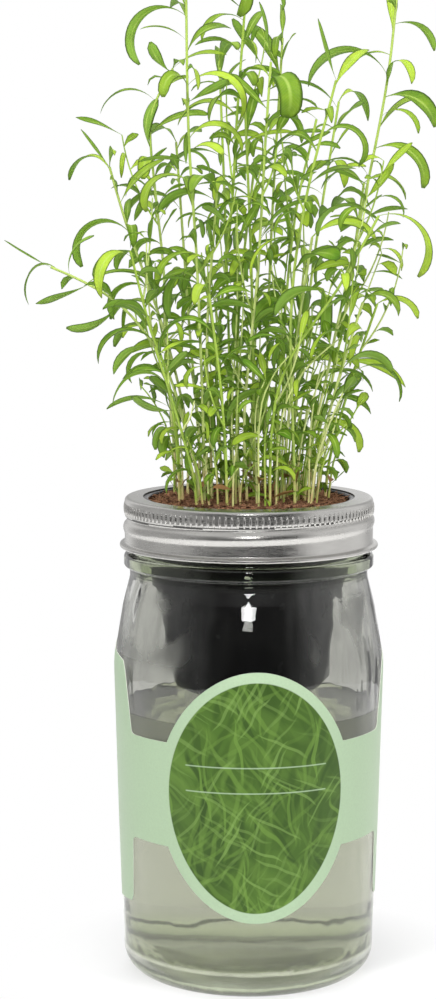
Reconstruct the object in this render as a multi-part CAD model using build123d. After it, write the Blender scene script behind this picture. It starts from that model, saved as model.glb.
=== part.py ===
from build123d import *
import math
import os

# Glass jar, a wide-mouth quart: heights are from the surface it stands on.
jar_height = 171.4
foot_radius = 45.0
waist_radius = 46.9
waist_height = 58.0
shoulder_radius = 48.4
shoulder_height = 115.0
upper_shoulder_radius = 45.3
upper_shoulder_height = 134.0
neck_radius = 42.7
neck_height = 144.5
heel_rounding = 16.0
waist_rounding = 300.0
shoulder_rounding = 40.0
upper_shoulder_rounding = 20.0
neck_rounding = 3.0
glass_wall = 2.7
floor_thickness = 4.2
floor_rounding = 11.0
push_up_height = 3.0
push_up_radius = 26.5
push_up_flat_radius = 17.0
push_up_rounding = 12.0
mouth_radius = 38.2
mouth_taper_length = 9.0
rim_rounding = 1.1

# The jar's finish: support bead, thread root and thread.
bead_radius = 44.8
bead_low = 148.2
bead_high = 153.0
bead_rounding = 1.9
root_radius = 41.8
root_rounding = 0.6
thread_pitch = 5.08
thread_depth = 1.6
thread_base_half = 1.25
thread_crest_half = 0.5
thread_turns = 1.25
thread_below_rim = 11.8
thread_bite = 0.4

# Screw band of rolled tinplate.
sheet = 0.4
band_height = 17.8
band_clearance = 0.7
band_opening_radius = 37.9
band_corner_rounding = 1.4
knurl_height = 4.2
knurl_below_top = 1.6
knurl_depth = 0.35
knurl_count = 132
lip_flare = 1.8
lip_height = 2.6
band_thread_depth = 1.5
band_thread_base_half = 1.2
band_thread_crest_half = 0.45
band_thread_turns = 1.1
thread_seat_gap = 0.25

# Black grow pot that hangs from the rim.
pot_flange_radius = 41.6
pot_flange_thickness = 1.2
pot_wall = 1.3
pot_depth = 68.1
pot_floor_radius = 27.9
pot_mouth_gap = 0.9
pot_corner_rounding = 5.0
pot_flange_rounding = 0.8
root_slot_count = 8
root_slot_width = 2.6
root_slot_inner = 11.0
root_slot_outer = 22.0

# Coir plug and the felt wick that feeds it.
plug_gap = 0.35
plug_crown = 2.6
plug_edge_drop = 3.4
plug_crown_radius = 31.5
wick_width = 9.0
wick_thickness = 2.6
wick_depth_in_plug = 34.0
wick_above_floor = 9.0
wick_gap = 0.4

# Die-cut paper label: a front oval on a strip that runs round the jar, and two taller side panels.
paper = 0.18
paste_gap = 0.06
oval_low = 29.0
oval_high = 118.0
oval_half_width = 33.6
strip_low = 54.2
strip_high = 91.5
strip_corner_rounding = 1.2
panel_low = 26.0
panel_high = 120.5
panel_edge_top = 46.0
panel_edge_high = 43.8
panel_edge_low = 43.2
panel_corner_height = 5.0
panel_corner_rounding = 2.0
panel_rear_edge = 45.5
panel_shift = 1.0
label_turn_degrees = 2.8
seam_gap = 1.2

# Herb plants: how far and how high they reach over the plug, and their stems and leaves.
crown_reach = 88.0
crown_height = 186.0
stem_base_radius = 0.85
stem_tip_radius = 0.45
stem_step = 12.0
stem_sides = 6
leaf_length = 30.0
leaf_width = 5.2
leaf_thickness = 0.55
petiole_width = 1.0
node_pitch = 11.0
foot_leaf_zone = 24.0
leaf_clearance = 0.45
leaf_steps = 6

# One overrun for every cut.
overrun = 1.0

# A leaf's outline from its foot to its tip, and how the leaves along a stem differ.
LEAF_WIDTH_SHARES = (0.0, 0.14, 0.66, 0.98, 1.0, 0.7, 0.12)
LEAF_LENGTH_MEAN_SHARE = 0.78
LEAF_LENGTH_SWING_SHARE = 0.24
FOOT_LEAF_LENGTH_SHARE = 0.55
LEAF_WIDTH_MEAN_SHARE = 0.76
LEAF_WIDTH_SWING_SHARE = 0.24
LEAF_RISE_DEGREES = 50
LEAF_RISE_SWING_DEGREES = 16
LEAF_CURL_DEGREES = 100
LEAF_CURL_SWING_DEGREES = 60
LEAF_ROLL_DEGREES = 48
LEAF_TURN_TRIES = 12
LEAF_TURN_DEGREES = 14.5
GOLDEN_DEGREES = 137.5
STEM_TURN_DEGREES = 61

# Each stem: its foot on the plug, then the points it passes, as shares of the crown's reach and height.
STEM_SHARES = [
    ((-0.20, -0.10), (-0.245, -0.12, 0.119), (-0.335, -0.12, 0.255), (-0.483, -0.12, 0.357),
     (-0.64, -0.12, 0.41), (-0.79, -0.14, 0.443)),
    ((-0.25, 0.09), (-0.26, 0.09, 0.145), (-0.35, 0.07, 0.325), (-0.49, 0.03, 0.515), (-0.56, 0.0, 0.63)),
    ((-0.28, -0.16), (-0.32, -0.19, 0.225), (-0.39, -0.22, 0.325), (-0.47, -0.25, 0.475)),
    ((-0.30, 0.17), (-0.34, 0.20, 0.27), (-0.35, 0.25, 0.43), (-0.39, 0.28, 0.61), (-0.40, 0.28, 0.73),
     (-0.31, 0.26, 0.82)),
    ((-0.18, -0.20), (-0.205, -0.25, 0.415), (-0.24, -0.27, 0.69), (-0.25, -0.25, 0.97)),
    ((-0.11, 0.05), (-0.13, 0.05, 0.25), (-0.07, 0.06, 0.555), (-0.05, 0.07, 0.72), (-0.01, 0.09, 0.98)),
    ((-0.01, -0.16), (-0.02, -0.17, 0.17), (0.03, -0.20, 0.43), (0.06, -0.23, 0.68), (0.08, -0.23, 0.82)),
    ((0.18, -0.23), (0.16, -0.27, 0.34), (0.21, -0.30, 0.555), (0.33, -0.32, 0.785)),
    ((0.11, 0.02), (0.17, 0.03, 0.48), (0.27, 0.05, 0.72)),
    ((0.22, -0.07), (0.31, -0.08, 0.235), (0.45, -0.09, 0.555), (0.54, -0.09, 0.78), (0.58, -0.09, 0.95)),
    ((0.08, -0.28), (0.12, -0.33, 0.235), (0.34, -0.42, 0.41), (0.49, -0.46, 0.54)),
    ((0.25, 0.11), (0.35, 0.14, 0.235), (0.41, 0.16, 0.40), (0.47, 0.18, 0.60)),
    ((-0.20, 0.24), (-0.25, 0.32, 0.35), (-0.30, 0.42, 0.68)),
    ((-0.07, 0.28), (-0.09, 0.38, 0.45), (-0.12, 0.50, 0.84)),
    ((0.07, 0.19), (0.09, 0.26, 0.45), (0.14, 0.34, 0.88)),
    ((0.18, 0.23), (0.26, 0.34, 0.40), (0.38, 0.48, 0.76)),
    ((0.31, -0.01), (0.40, 0.02, 0.20), (0.52, 0.05, 0.37)),
    ((-0.15, -0.06), (-0.17, -0.12, 0.30), (-0.13, -0.16, 0.58)),
    ((0.02, -0.03), (0.01, -0.06, 0.40), (-0.02, -0.07, 0.76)),
    ((-0.05, 0.14), (-0.04, 0.16, 0.35), (0.02, 0.20, 0.62)),
    ((0.14, -0.12), (0.18, -0.20, 0.28), (0.24, -0.33, 0.50)),
    ((-0.09, -0.30), (-0.11, -0.38, 0.20), (-0.16, -0.48, 0.40)),
    ((0.25, -0.17), (0.33, -0.24, 0.20), (0.44, -0.30, 0.38)),
    ((0.01, 0.33), (0.03, 0.42, 0.28), (0.06, 0.55, 0.56)),
    ((-0.21, -0.26), (-0.28, -0.33, 0.16), (-0.37, -0.41, 0.30)),
    ((0.15, 0.31), (0.19, 0.40, 0.22), (0.24, 0.48, 0.44)),
]

# The leaves that show at the crown's edge: stem, place along it, azimuth, length, width, then rise, curl and roll
# in degrees. Place, length and width are shares; azimuth 0 points right and 90 away from the front.
EDGE_LEAF_SHARES = [
    (0, 1.00, 180, 0.62, 0.42, 24, -12, 30),
    (0, 0.93, 176, 0.62, 0.42, 72, -100, 40),
    (0, 0.86, 182, 0.66, 0.70, -30, -20, 60),
    (0, 0.74, 178, 0.72, 0.70, -62, -75, 70),
    (0, 0.60, 184, 0.80, 0.70, 88, 120, 55),
    (0, 0.52, 182, 0.62, 0.55, 28, 150, 50),
    (1, 1.00, 180, 0.55, 0.45, 50, -5, 45),
    (1, 0.98, 120, 0.60, 0.45, 76, 10, 30),
    (1, 0.97, 20, 0.55, 0.75, 82, 0, 60),
    (1, 0.80, 180, 1.05, 0.80, 52, 175, 55),
    (1, 0.62, 182, 0.80, 0.70, 44, 165, 60),
    (1, 0.70, 20, 0.55, 0.85, 66, 120, 40),
    (2, 1.00, 185, 0.60, 0.60, 10, 100, 50),
    (2, 0.98, 60, 0.60, 0.60, 72, 10, 50),
    (3, 0.80, 180, 0.66, 0.95, 62, -70, 60),
    (3, 0.72, 178, 0.50, 0.70, -58, 5, 60),
    (3, 0.58, 180, 0.50, 0.75, 42, 150, 60),
    (3, 0.56, 355, 0.42, 0.75, 42, 120, 50),
    (3, 1.00, 5, 0.70, 0.60, 44, 60, 40),
    (3, 0.99, 190, 0.45, 0.85, 30, -50, 60),
    (4, 0.93, 180, 1.15, 0.85, 42, 175, 50),
    (4, 0.80, 0, 1.05, 0.85, 52, 170, 50),
    (4, 0.70, 10, 0.85, 0.75, 62, 150, 55),
    (4, 1.00, 0, 1.20, 1.25, 60, 190, 50),
    (5, 1.00, 130, 0.70, 0.60, 75, 10, 0),
    (5, 0.86, 186, 0.62, 0.45, 55, 90, 50),
    (6, 1.00, 150, 0.70, 0.80, 82, 10, 40),
    (6, 0.94, 300, 0.90, 1.60, 62, 210, 20),
    (7, 1.00, 178, 0.72, 0.55, 68, -10, 40),
    (7, 0.86, 2, 0.90, 0.80, 64, 195, 55),
    (7, 0.55, 300, 1.00, 1.30, 40, 60, 30),
    (8, 1.00, 180, 0.72, 0.50, 46, 115, 50),
    (9, 0.84, 180, 1.25, 0.80, 68, 150, 50),
    (9, 0.80, 2, 0.78, 1.45, 22, 105, 55),
    (9, 0.70, 358, 0.90, 1.05, 26, 130, 60),
    (9, 0.60, 8, 0.55, 0.75, 40, -20, 60),
    (9, 1.00, 0, 0.60, 0.75, 60, 5, 40),
    (10, 1.00, 0, 1.10, 0.75, 18, 150, 50),
    (10, 0.72, 180, 0.80, 1.20, 30, 100, 40),
    (11, 0.42, 0, 0.95, 0.85, 18, 72, 55),
    (11, 0.22, 358, 0.70, 0.85, 30, 130, 60),
    (11, 1.00, 20, 0.70, 0.80, 40, 120, 40),
    (16, 1.00, 10, 0.62, 0.80, 35, 110, 60),
    (16, 0.62, 200, 0.50, 0.70, 35, 80, 50),
    (22, 1.00, 20, 0.62, 0.95, 50, 140, 55),
    (12, 1.00, 120, 0.85, 0.80, 50, 90, 30),
    (13, 1.00, 90, 1.00, 0.80, 50, 120, 20),
    (15, 1.00, 60, 1.00, 0.80, 45, 120, 20),
    (17, 1.00, 250, 0.95, 1.30, 50, 100, 20),
    (20, 1.00, 20, 0.90, 1.20, 45, 95, 50),
    (21, 1.00, 255, 0.70, 0.90, 45, 110, 10),
    (24, 1.00, 182, 0.62, 0.75, 12, 90, 60),
    (24, 0.60, 184, 0.55, 0.65, -12, -60, 60),
    (23, 1.00, 95, 0.95, 0.80, 40, 110, 10),
]

# Heights and radii that follow from the sizes above.
rim_z = jar_height
pot_flange_top = rim_z + pot_flange_thickness
band_top = pot_flange_top + sheet
band_inner_radius = root_radius + thread_depth + band_clearance
band_low = band_top - band_height
pot_low = pot_flange_top - pot_depth
pot_floor_top = pot_low + pot_wall
pot_neck_radius = mouth_radius - pot_mouth_gap
plug_top = band_top + plug_crown - plug_edge_drop + sheet
jar_floor_z = push_up_height + floor_thickness


def rounded_face(corners):
    """A face in the XZ plane from (radius, height, rounding) corners."""
    count = len(corners)
    ends = []
    for i, (r, z, rounding) in enumerate(corners):
        here = Vector(r, 0, z)
        back = Vector(corners[i - 1][0], 0, corners[i - 1][1]) - here
        ahead = Vector(corners[(i + 1) % count][0], 0, corners[(i + 1) % count][1]) - here
        if rounding <= 0:
            ends.append((here, None, here))
            continue
        u, v = back.normalized(), ahead.normalized()
        half = math.radians(u.get_angle(v)) / 2
        reach = min(rounding / math.tan(half), 0.49 * back.length, 0.49 * ahead.length)
        radius = reach * math.tan(half)
        centre = here + (u + v).normalized() * (radius / math.sin(half))
        middle = centre + (here - centre).normalized() * radius
        ends.append((here + u * reach, middle, here + v * reach))
    edges = []
    for i, (start, middle, end) in enumerate(ends):
        if middle is not None:
            edges.append(ThreePointArc(start, middle, end))
        following = ends[(i + 1) % count][0]
        if (following - end).length > 1e-6:
            edges.append(Line(end, following))
    return make_face(edges)


def ridge(radius, half_base, half_crest, depth, turns, start_z, start_degrees, bite):
    """A helical thread ridge standing on a wall of this radius; a negative depth stands inwards."""
    away = math.copysign(bite, depth)
    path = Helix(pitch=thread_pitch, height=turns * thread_pitch, radius=radius)
    profile = Polyline(
        (radius - away, 0, -half_base),
        (radius, 0, -half_base),
        (radius + depth, 0, -half_crest),
        (radius + depth, 0, half_crest),
        (radius, 0, half_base),
        (radius - away, 0, half_base),
        close=True,
    )
    swept = sweep(make_face(profile), path=path, is_frenet=True)
    return Rot(0, 0, start_degrees) * Pos(0, 0, start_z) * swept


def jar_outer_corners():
    return [
        (push_up_flat_radius, push_up_height, push_up_rounding),
        (push_up_radius, 0, 0),
        (foot_radius, 0, heel_rounding),
        (waist_radius, waist_height, waist_rounding),
        (shoulder_radius, shoulder_height, shoulder_rounding),
        (upper_shoulder_radius, upper_shoulder_height, upper_shoulder_rounding),
        (neck_radius, neck_height, neck_rounding),
        (neck_radius, bead_low, root_rounding),
        (bead_radius, bead_low, bead_rounding),
        (bead_radius, bead_high, bead_rounding),
        (root_radius, bead_high, root_rounding),
        (root_radius, rim_z, rim_rounding),
    ]


def jar_inner_corners():
    return [
        (mouth_radius, rim_z, rim_rounding),
        (mouth_radius, neck_height + mouth_taper_length - glass_wall, upper_shoulder_rounding),
        (upper_shoulder_radius - glass_wall, upper_shoulder_height - glass_wall, upper_shoulder_rounding),
        (shoulder_radius - glass_wall, shoulder_height, shoulder_rounding),
        (waist_radius - glass_wall, waist_height, waist_rounding),
        (foot_radius - glass_wall, jar_floor_z, floor_rounding),
    ]


def make_glass_jar():
    body = rounded_face([(0, push_up_height, 0), *jar_outer_corners(), *jar_inner_corners(), (0, jar_floor_z, 0)])
    jar = revolve(body, Axis.Z)
    thread = ridge(
        root_radius,
        thread_base_half,
        thread_crest_half,
        thread_depth,
        thread_turns,
        rim_z - thread_below_rim,
        0,
        thread_bite,
    )
    return jar + thread


def make_screw_band():
    outer = band_inner_radius + sheet
    knurl_top = band_top - knurl_below_top
    knurl_low = knurl_top - knurl_height
    profile = [
        (band_opening_radius, pot_flange_top, 0),
        (band_inner_radius, pot_flange_top, band_corner_rounding - sheet),
        (band_inner_radius, band_low + lip_height, lip_height),
        (band_inner_radius + lip_flare, band_low, 0),
        (band_inner_radius + lip_flare + sheet, band_low, 0),
        (band_inner_radius + lip_flare + sheet, band_low + sheet, 0),
        (outer, band_low + lip_height + sheet, lip_height),
        (outer, band_top, band_corner_rounding),
        (band_opening_radius, band_top, 0),
    ]
    band = revolve(rounded_face(profile), Axis.Z)
    teeth = []
    for i in range(knurl_count):
        low = math.radians(360 * i / knurl_count)
        high = math.radians(360 * (i + 0.5) / knurl_count)
        teeth.append((outer * math.cos(low), outer * math.sin(low)))
        teeth.append(((outer + knurl_depth) * math.cos(high), (outer + knurl_depth) * math.sin(high)))
    star = make_face(Polyline(*teeth, close=True)) - Circle(outer - sheet / 2)
    belt = Pos(0, 0, knurl_low) * extrude(star, knurl_height)
    below_glass_thread = thread_seat_gap + thread_crest_half + band_thread_base_half
    inner_ridge = ridge(
        band_inner_radius,
        band_thread_base_half,
        band_thread_crest_half,
        -band_thread_depth,
        band_thread_turns,
        rim_z - thread_below_rim - below_glass_thread,
        0,
        sheet / 2,
    )
    return band + belt + inner_ridge


def pot_outer_radius(z):
    """The pot's outer radius at a height, on its straight taper."""
    share = (z - pot_low) / (rim_z - pot_low)
    return pot_floor_radius + share * (pot_neck_radius - pot_floor_radius)


def make_grow_pot():
    neck_inner = pot_neck_radius - pot_wall
    floor_inner = pot_outer_radius(pot_floor_top) - pot_wall
    profile = [
        (0, pot_low, 0),
        (pot_floor_radius, pot_low, pot_corner_rounding),
        (pot_neck_radius, rim_z, 0),
        (pot_flange_radius, rim_z, 0),
        (pot_flange_radius, pot_flange_top, pot_flange_rounding),
        (neck_inner, pot_flange_top, pot_flange_rounding),
        (floor_inner, pot_floor_top, pot_corner_rounding - pot_wall),
        (0, pot_floor_top, 0),
    ]
    pot = revolve(rounded_face(profile), Axis.Z)
    slot_length = root_slot_outer - root_slot_inner
    cut_height = pot_wall + 2 * overrun
    slot = Pos(root_slot_inner + slot_length / 2, 0, 0) * SlotOverall(slot_length, root_slot_width)
    slots = Sketch() + [Rot(0, 0, 360 * (i + 0.5) / root_slot_count) * slot for i in range(root_slot_count)]
    slots += Rectangle(wick_width + 2 * wick_gap, wick_thickness + 2 * wick_gap)
    return pot - Pos(0, 0, pot_low - overrun) * extrude(slots, cut_height)


def wick_span():
    """The wick's lower and upper end."""
    return jar_floor_z + wick_above_floor, pot_floor_top + wick_depth_in_plug


def make_growing_medium():
    floor_r = pot_outer_radius(pot_floor_top) - pot_wall - plug_gap
    edge_z = plug_top - plug_crown
    edge_r = pot_outer_radius(edge_z) - pot_wall - plug_gap
    profile = [
        (0, pot_floor_top, 0),
        (floor_r, pot_floor_top, pot_corner_rounding - pot_wall),
        (edge_r, edge_z, 0),
        (plug_crown_radius, plug_top, 0),
        (0, plug_top, 0),
    ]
    plug = revolve(rounded_face(profile), Axis.Z)
    low, high = wick_span()
    pocket_height = high - pot_floor_top + overrun
    pocket = Pos(0, 0, pot_floor_top - overrun) * extrude(Rectangle(wick_width, wick_thickness), pocket_height)
    return plug - pocket


def make_wick():
    low, high = wick_span()
    return Pos(0, 0, low) * extrude(Rectangle(wick_width, wick_thickness), high - low)


def jar_wall_corners(offset):
    """The jar's wall between its foot and its upper shoulder, moved outwards."""
    return [
        (foot_radius + offset, 0, 0),
        (waist_radius + offset, waist_height, waist_rounding),
        (shoulder_radius + offset, shoulder_height, shoulder_rounding),
        (upper_shoulder_radius + offset, upper_shoulder_height, 0),
    ]


def between(low, high):
    """A slab round the jar between two heights."""
    width = 4 * shoulder_radius
    return Pos(0, 0, (low + high) / 2) * Box(width, width, high - low)


def front_window(strip_edge, panel_edge, strip_z, panel_z):
    """The opening between the side panels, above or below the strip, as it looks from the front."""
    up = math.copysign(1, panel_z - strip_z)
    past = panel_z + up * overrun
    corner_z = panel_z - up * panel_corner_height
    side = [(strip_edge, strip_z), (panel_edge, corner_z), (shoulder_radius, panel_z), (shoulder_radius, past)]
    face = make_face(Polyline(*side, *[(-x, z) for x, z in reversed(side)], close=True))
    face = fillet(face.vertices().filter_by(lambda v: abs(v.Y - strip_z) < paper), strip_corner_rounding)
    face = fillet(face.vertices().filter_by(lambda v: abs(v.Y - corner_z) < paper), panel_corner_rounding)
    return Pos(panel_shift, 0) * face


def make_label():
    """A paper sleeve on the jar's wall, cut back to the oval, the strip and the side panels."""
    inner = jar_wall_corners(paste_gap)
    outer = jar_wall_corners(paste_gap + paper)
    sleeve = revolve(rounded_face([*inner, *reversed(outer)]), Axis.Z) & between(panel_low, panel_high)
    oval_middle = (oval_low + oval_high) / 2
    oval = Pos(0, oval_middle) * Ellipse(oval_half_width, (oval_high - oval_low) / 2)
    front = front_window(panel_edge_high, panel_edge_top, strip_high, panel_high)
    front += front_window(panel_edge_low, panel_edge_low, strip_low, panel_low)
    reach = shoulder_radius + paper + overrun
    sleeve -= extrude(Plane.XZ * (front - oval), reach)
    for low, high in ((panel_low - overrun, strip_low), (strip_high, panel_high + overrun)):
        sleeve -= Pos(0, reach / 2, (low + high) / 2) * Box(2 * panel_rear_edge, reach, high - low)
    seam = Pos(0, reach / 2, (strip_low + strip_high) / 2) * Box(seam_gap, reach, strip_high - strip_low + overrun)
    return Rot(0, 0, label_turn_degrees) * (sleeve - seam)


def stem_points(shares):
    """A stem's centreline, about one point for each stem step, as (x, y, z) tuples."""
    foot, *rest = shares
    knots = [(foot[0] * crown_reach, foot[1] * crown_reach, 0.0)]
    knots += [(x * crown_reach, y * crown_reach, h * crown_height) for x, y, h in rest]
    slopes = []
    for i, here in enumerate(knots):
        before, after = knots[max(i - 1, 0)], knots[min(i + 1, len(knots) - 1)]
        slopes.append([(after[k] - before[k]) / (1 if i in (0, len(knots) - 1) else 2) for k in range(3)])
    slopes[0] = [0.0, 0.0, knots[1][2]]
    points = [knots[0]]
    for a, b, ta, tb in zip(knots, knots[1:], slopes, slopes[1:]):
        steps = max(2, round(math.dist(a, b) / stem_step))
        for n in range(1, steps + 1):
            t = n / steps
            blend = (2 * t**3 - 3 * t**2 + 1, t**3 - 2 * t**2 + t, 3 * t**2 - 2 * t**3, t**3 - t**2)
            points.append(tuple(sum(w * q[k] for w, q in zip(blend, (a, ta, b, tb))) for k in range(3)))
    return [(x, y, z + plug_top) for x, y, z in points]


def along(points, share):
    """The point at a share of a centreline's length."""
    lengths = [math.dist(a, b) for a, b in zip(points, points[1:])]
    left = share * sum(lengths)
    for a, b, length in zip(points, points[1:], lengths):
        if left <= length or b is points[-1]:
            t = min(left / length, 1.0)
            return tuple(a[k] + t * (b[k] - a[k]) for k in range(3))
        left -= length


def leaf_spine(start, azimuth, length, rise, curl):
    """A leaf's centreline: it leaves at the rise angle and turns down by the curl angle."""
    a = math.radians(azimuth)
    spine = [start]
    for n in range(leaf_steps):
        e = math.radians(rise - curl * (n + 0.5) / leaf_steps)
        step = length / leaf_steps
        x, y, z = spine[-1]
        spine.append(
            (x + step * math.cos(e) * math.cos(a), y + step * math.cos(e) * math.sin(a), z + step * math.sin(e))
        )
    return spine


def half_widths(width):
    return [max(share * width, petiole_width if n < 2 else 0.0) / 2 for n, share in enumerate(LEAF_WIDTH_SHARES)]


def is_clear(spine, halves, own, stems, leaves):
    """Whether a leaf keeps its clearance from other stems, other leaves and the soil."""
    for here, half in list(zip(spine, halves))[1:]:
        if here[2] - half < plug_top + leaf_clearance:
            return False
        for i, points in enumerate(stems):
            if i != own and any(math.dist(here, q) < half + stem_base_radius + leaf_clearance for q in points):
                return False
        for points, other_half in leaves:
            if any(math.dist(here, q) < half + other_half + leaf_clearance for q in points):
                return False
    return True


def dense(points, gap):
    """The same centreline with points no further apart than the gap."""
    out = [points[0]]
    for a, b in zip(points, points[1:]):
        steps = max(1, math.ceil(math.dist(a, b) / gap))
        out += [tuple(a[k] + (b[k] - a[k]) * n / steps for k in range(3)) for n in range(1, steps + 1)]
    return out


def stem_leaves(own, points):
    """The leaves along a stem, one for each node pitch, as rows like the edge leaves."""
    total = sum(math.dist(a, b) for a, b in zip(points, points[1:]))
    count = int(total / node_pitch)
    rows = []
    for n in range(1, count + 1):
        place = n / (count + 0.25)
        length = LEAF_LENGTH_MEAN_SHARE + LEAF_LENGTH_SWING_SHARE * math.sin(2.4 * n + own)
        if along(points, place)[2] < plug_top + foot_leaf_zone:
            length *= FOOT_LEAF_LENGTH_SHARE
        width = LEAF_WIDTH_MEAN_SHARE + LEAF_WIDTH_SWING_SHARE * math.cos(1.7 * n + 2 * own)
        rise = LEAF_RISE_DEGREES + LEAF_RISE_SWING_DEGREES * math.sin(1.3 * n + 0.7 * own)
        curl = LEAF_CURL_DEGREES + LEAF_CURL_SWING_DEGREES * math.cos(2.1 * n + own)
        roll = LEAF_ROLL_DEGREES * math.sin(1.9 * n + 1.3 * own)
        azimuth = own * STEM_TURN_DEGREES + n * GOLDEN_DEGREES
        rows.append((own, place, azimuth, length, width, rise, curl, roll))
    return rows


def herb_layout():
    """Every stem's centreline, and every leaf's (stem, spine, azimuth, roll, half widths)."""
    stems = [stem_points(shares) for shares in STEM_SHARES]
    fine = [dense(points, 2 * stem_base_radius) for points in stems]
    wanted = list(EDGE_LEAF_SHARES)
    for own, points in enumerate(stems):
        wanted += stem_leaves(own, points)
    leaves, placed = [], []
    for own, place, azimuth, length, width, rise, curl, roll in wanted:
        start = along(stems[own], place)
        halves = half_widths(width * leaf_width)
        for attempt in range(LEAF_TURN_TRIES):
            turned = azimuth + LEAF_TURN_DEGREES * attempt * (-1) ** attempt
            spine = leaf_spine(start, turned, length * leaf_length, rise, curl)
            if is_clear(spine, halves, own, fine, placed):
                placed.append((dense(spine, leaf_width / 2), max(halves)))
                leaves.append((own, spine, turned, roll, halves))
                break
    return stems, leaves


def ruled_solid(sections):
    """A solid through planar polygons, straight between neighbours."""
    return loft([make_face(Polyline(*points, close=True)) for points in sections], ruled=True)


def stem_solid(points):
    sections = []
    last = len(points) - 1
    for n, p in enumerate(points):
        before, after = Vector(points[max(n - 1, 0)]), Vector(points[min(n + 1, last)])
        forward = Vector(0, 0, 1) if n == 0 else (after - before).normalized()
        side = forward.cross(Vector(0, 1, 0)).normalized()
        other = forward.cross(side)
        radius = stem_base_radius + (stem_tip_radius - stem_base_radius) * n / last
        ring = []
        for k in range(stem_sides):
            a = 2 * math.pi * k / stem_sides
            ring.append(Vector(p) + side * (radius * math.cos(a)) + other * (radius * math.sin(a)))
        sections.append(ring)
    return ruled_solid(sections)


def leaf_solid(spine, azimuth, roll, halves):
    a = math.radians(azimuth + 90)
    flat = Vector(math.cos(a), math.sin(a), 0)
    r = math.radians(roll)
    sections = []
    for n, (p, half) in enumerate(zip(spine, halves)):
        before, after = Vector(spine[max(n - 1, 0)]), Vector(spine[min(n + 1, leaf_steps)])
        forward = (after - before).normalized()
        across = flat * math.cos(r) + forward.cross(flat) * math.sin(r)
        up = forward.cross(across) * (leaf_thickness / 2)
        here = Vector(p)
        sections.append([here - across * half, here - up, here + across * half, here + up])
    return ruled_solid(sections)


def make_herbs():
    stems, leaves = herb_layout()
    herbs = {}
    for own, points in enumerate(stems):
        blades = [leaf_solid(*leaf) for i, *leaf in leaves if i == own]
        herbs[f"herb_{own + 1:02d}"] = stem_solid(points).fuse(*blades)
    print("leaves:", len(leaves))
    return herbs


def main():
    os.makedirs("parts", exist_ok=True)
    nodes = {
        "glass_jar": make_glass_jar(),
        "screw_band": make_screw_band(),
        "grow_pot": make_grow_pot(),
        "growing_medium": make_growing_medium(),
        "wick": make_wick(),
        "label": make_label(),
        **make_herbs(),
    }
    for name, shape in nodes.items():
        export_step(shape, f"parts/{name}.step")


main()
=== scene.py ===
"""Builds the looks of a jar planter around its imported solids: glass, water, label, band, pot, coir and herbs."""

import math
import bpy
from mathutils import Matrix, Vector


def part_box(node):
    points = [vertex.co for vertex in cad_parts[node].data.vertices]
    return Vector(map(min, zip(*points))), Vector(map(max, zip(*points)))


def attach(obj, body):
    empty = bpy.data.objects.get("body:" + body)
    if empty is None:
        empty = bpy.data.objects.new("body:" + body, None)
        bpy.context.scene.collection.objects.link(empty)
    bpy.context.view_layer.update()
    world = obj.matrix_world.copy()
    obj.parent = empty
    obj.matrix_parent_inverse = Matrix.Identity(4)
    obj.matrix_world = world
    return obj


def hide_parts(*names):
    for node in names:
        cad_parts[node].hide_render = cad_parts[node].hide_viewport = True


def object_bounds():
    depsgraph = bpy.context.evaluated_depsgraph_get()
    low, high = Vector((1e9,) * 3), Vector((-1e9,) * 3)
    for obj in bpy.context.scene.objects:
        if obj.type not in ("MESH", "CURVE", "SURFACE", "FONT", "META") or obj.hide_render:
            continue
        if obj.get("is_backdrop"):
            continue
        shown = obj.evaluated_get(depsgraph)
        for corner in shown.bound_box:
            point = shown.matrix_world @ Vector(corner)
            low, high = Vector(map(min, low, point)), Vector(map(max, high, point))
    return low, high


bl_info = {
    "name": "Jar planter",
    "version": (1, 0, 0),
    "blender": (4, 5, 0),
    "location": "View3D > Sidebar > Jar planter",
    "description": "Glass jar with a screw band, a hanging grow pot and a crown of narrow-leaved herbs",
    "category": "Object",
}

import bmesh
import bpy
import numpy as np
from bpy.props import FloatProperty, FloatVectorProperty, IntProperty, PointerProperty
from bpy.types import Operator, Panel, PropertyGroup
from mathutils import Matrix, Vector, noise

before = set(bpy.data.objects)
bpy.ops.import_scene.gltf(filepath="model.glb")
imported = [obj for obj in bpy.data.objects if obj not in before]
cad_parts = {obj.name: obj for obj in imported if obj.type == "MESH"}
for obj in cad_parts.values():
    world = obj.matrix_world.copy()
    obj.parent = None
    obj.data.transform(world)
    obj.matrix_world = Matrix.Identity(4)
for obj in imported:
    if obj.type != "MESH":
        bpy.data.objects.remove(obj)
cad_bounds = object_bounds()

MM = 0.001
TAU = 2 * math.pi
WHITE = (1.0, 1.0, 1.0)
LAMP_TARGET = Vector((0, 0, 0.16))
JAR_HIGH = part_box("glass_jar")[1]
BAND_LOW, BAND_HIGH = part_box("screw_band")
POT_LOW, POT_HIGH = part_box("grow_pot")
PLUG_LOW, PLUG_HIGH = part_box("growing_medium")
WICK_LOW, WICK_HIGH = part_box("wick")


# How the sizes and colours are declared.
def length(name, millimetres, description):
    return FloatProperty(name=name, description=description, default=millimetres * MM, unit="LENGTH", precision=5)


def number(name, value, description):
    return FloatProperty(name=name, description=description, default=value)


def degrees(name, value, description):
    return FloatProperty(name=name, description=description, default=math.radians(value), subtype="ANGLE")


def count(name, value, description):
    return IntProperty(name=name, description=description, default=value, min=1)


def colour(name, rgb, description):
    return FloatVectorProperty(name=name, description=description, default=rgb, subtype="COLOR", min=0.0, max=1.0)


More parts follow.
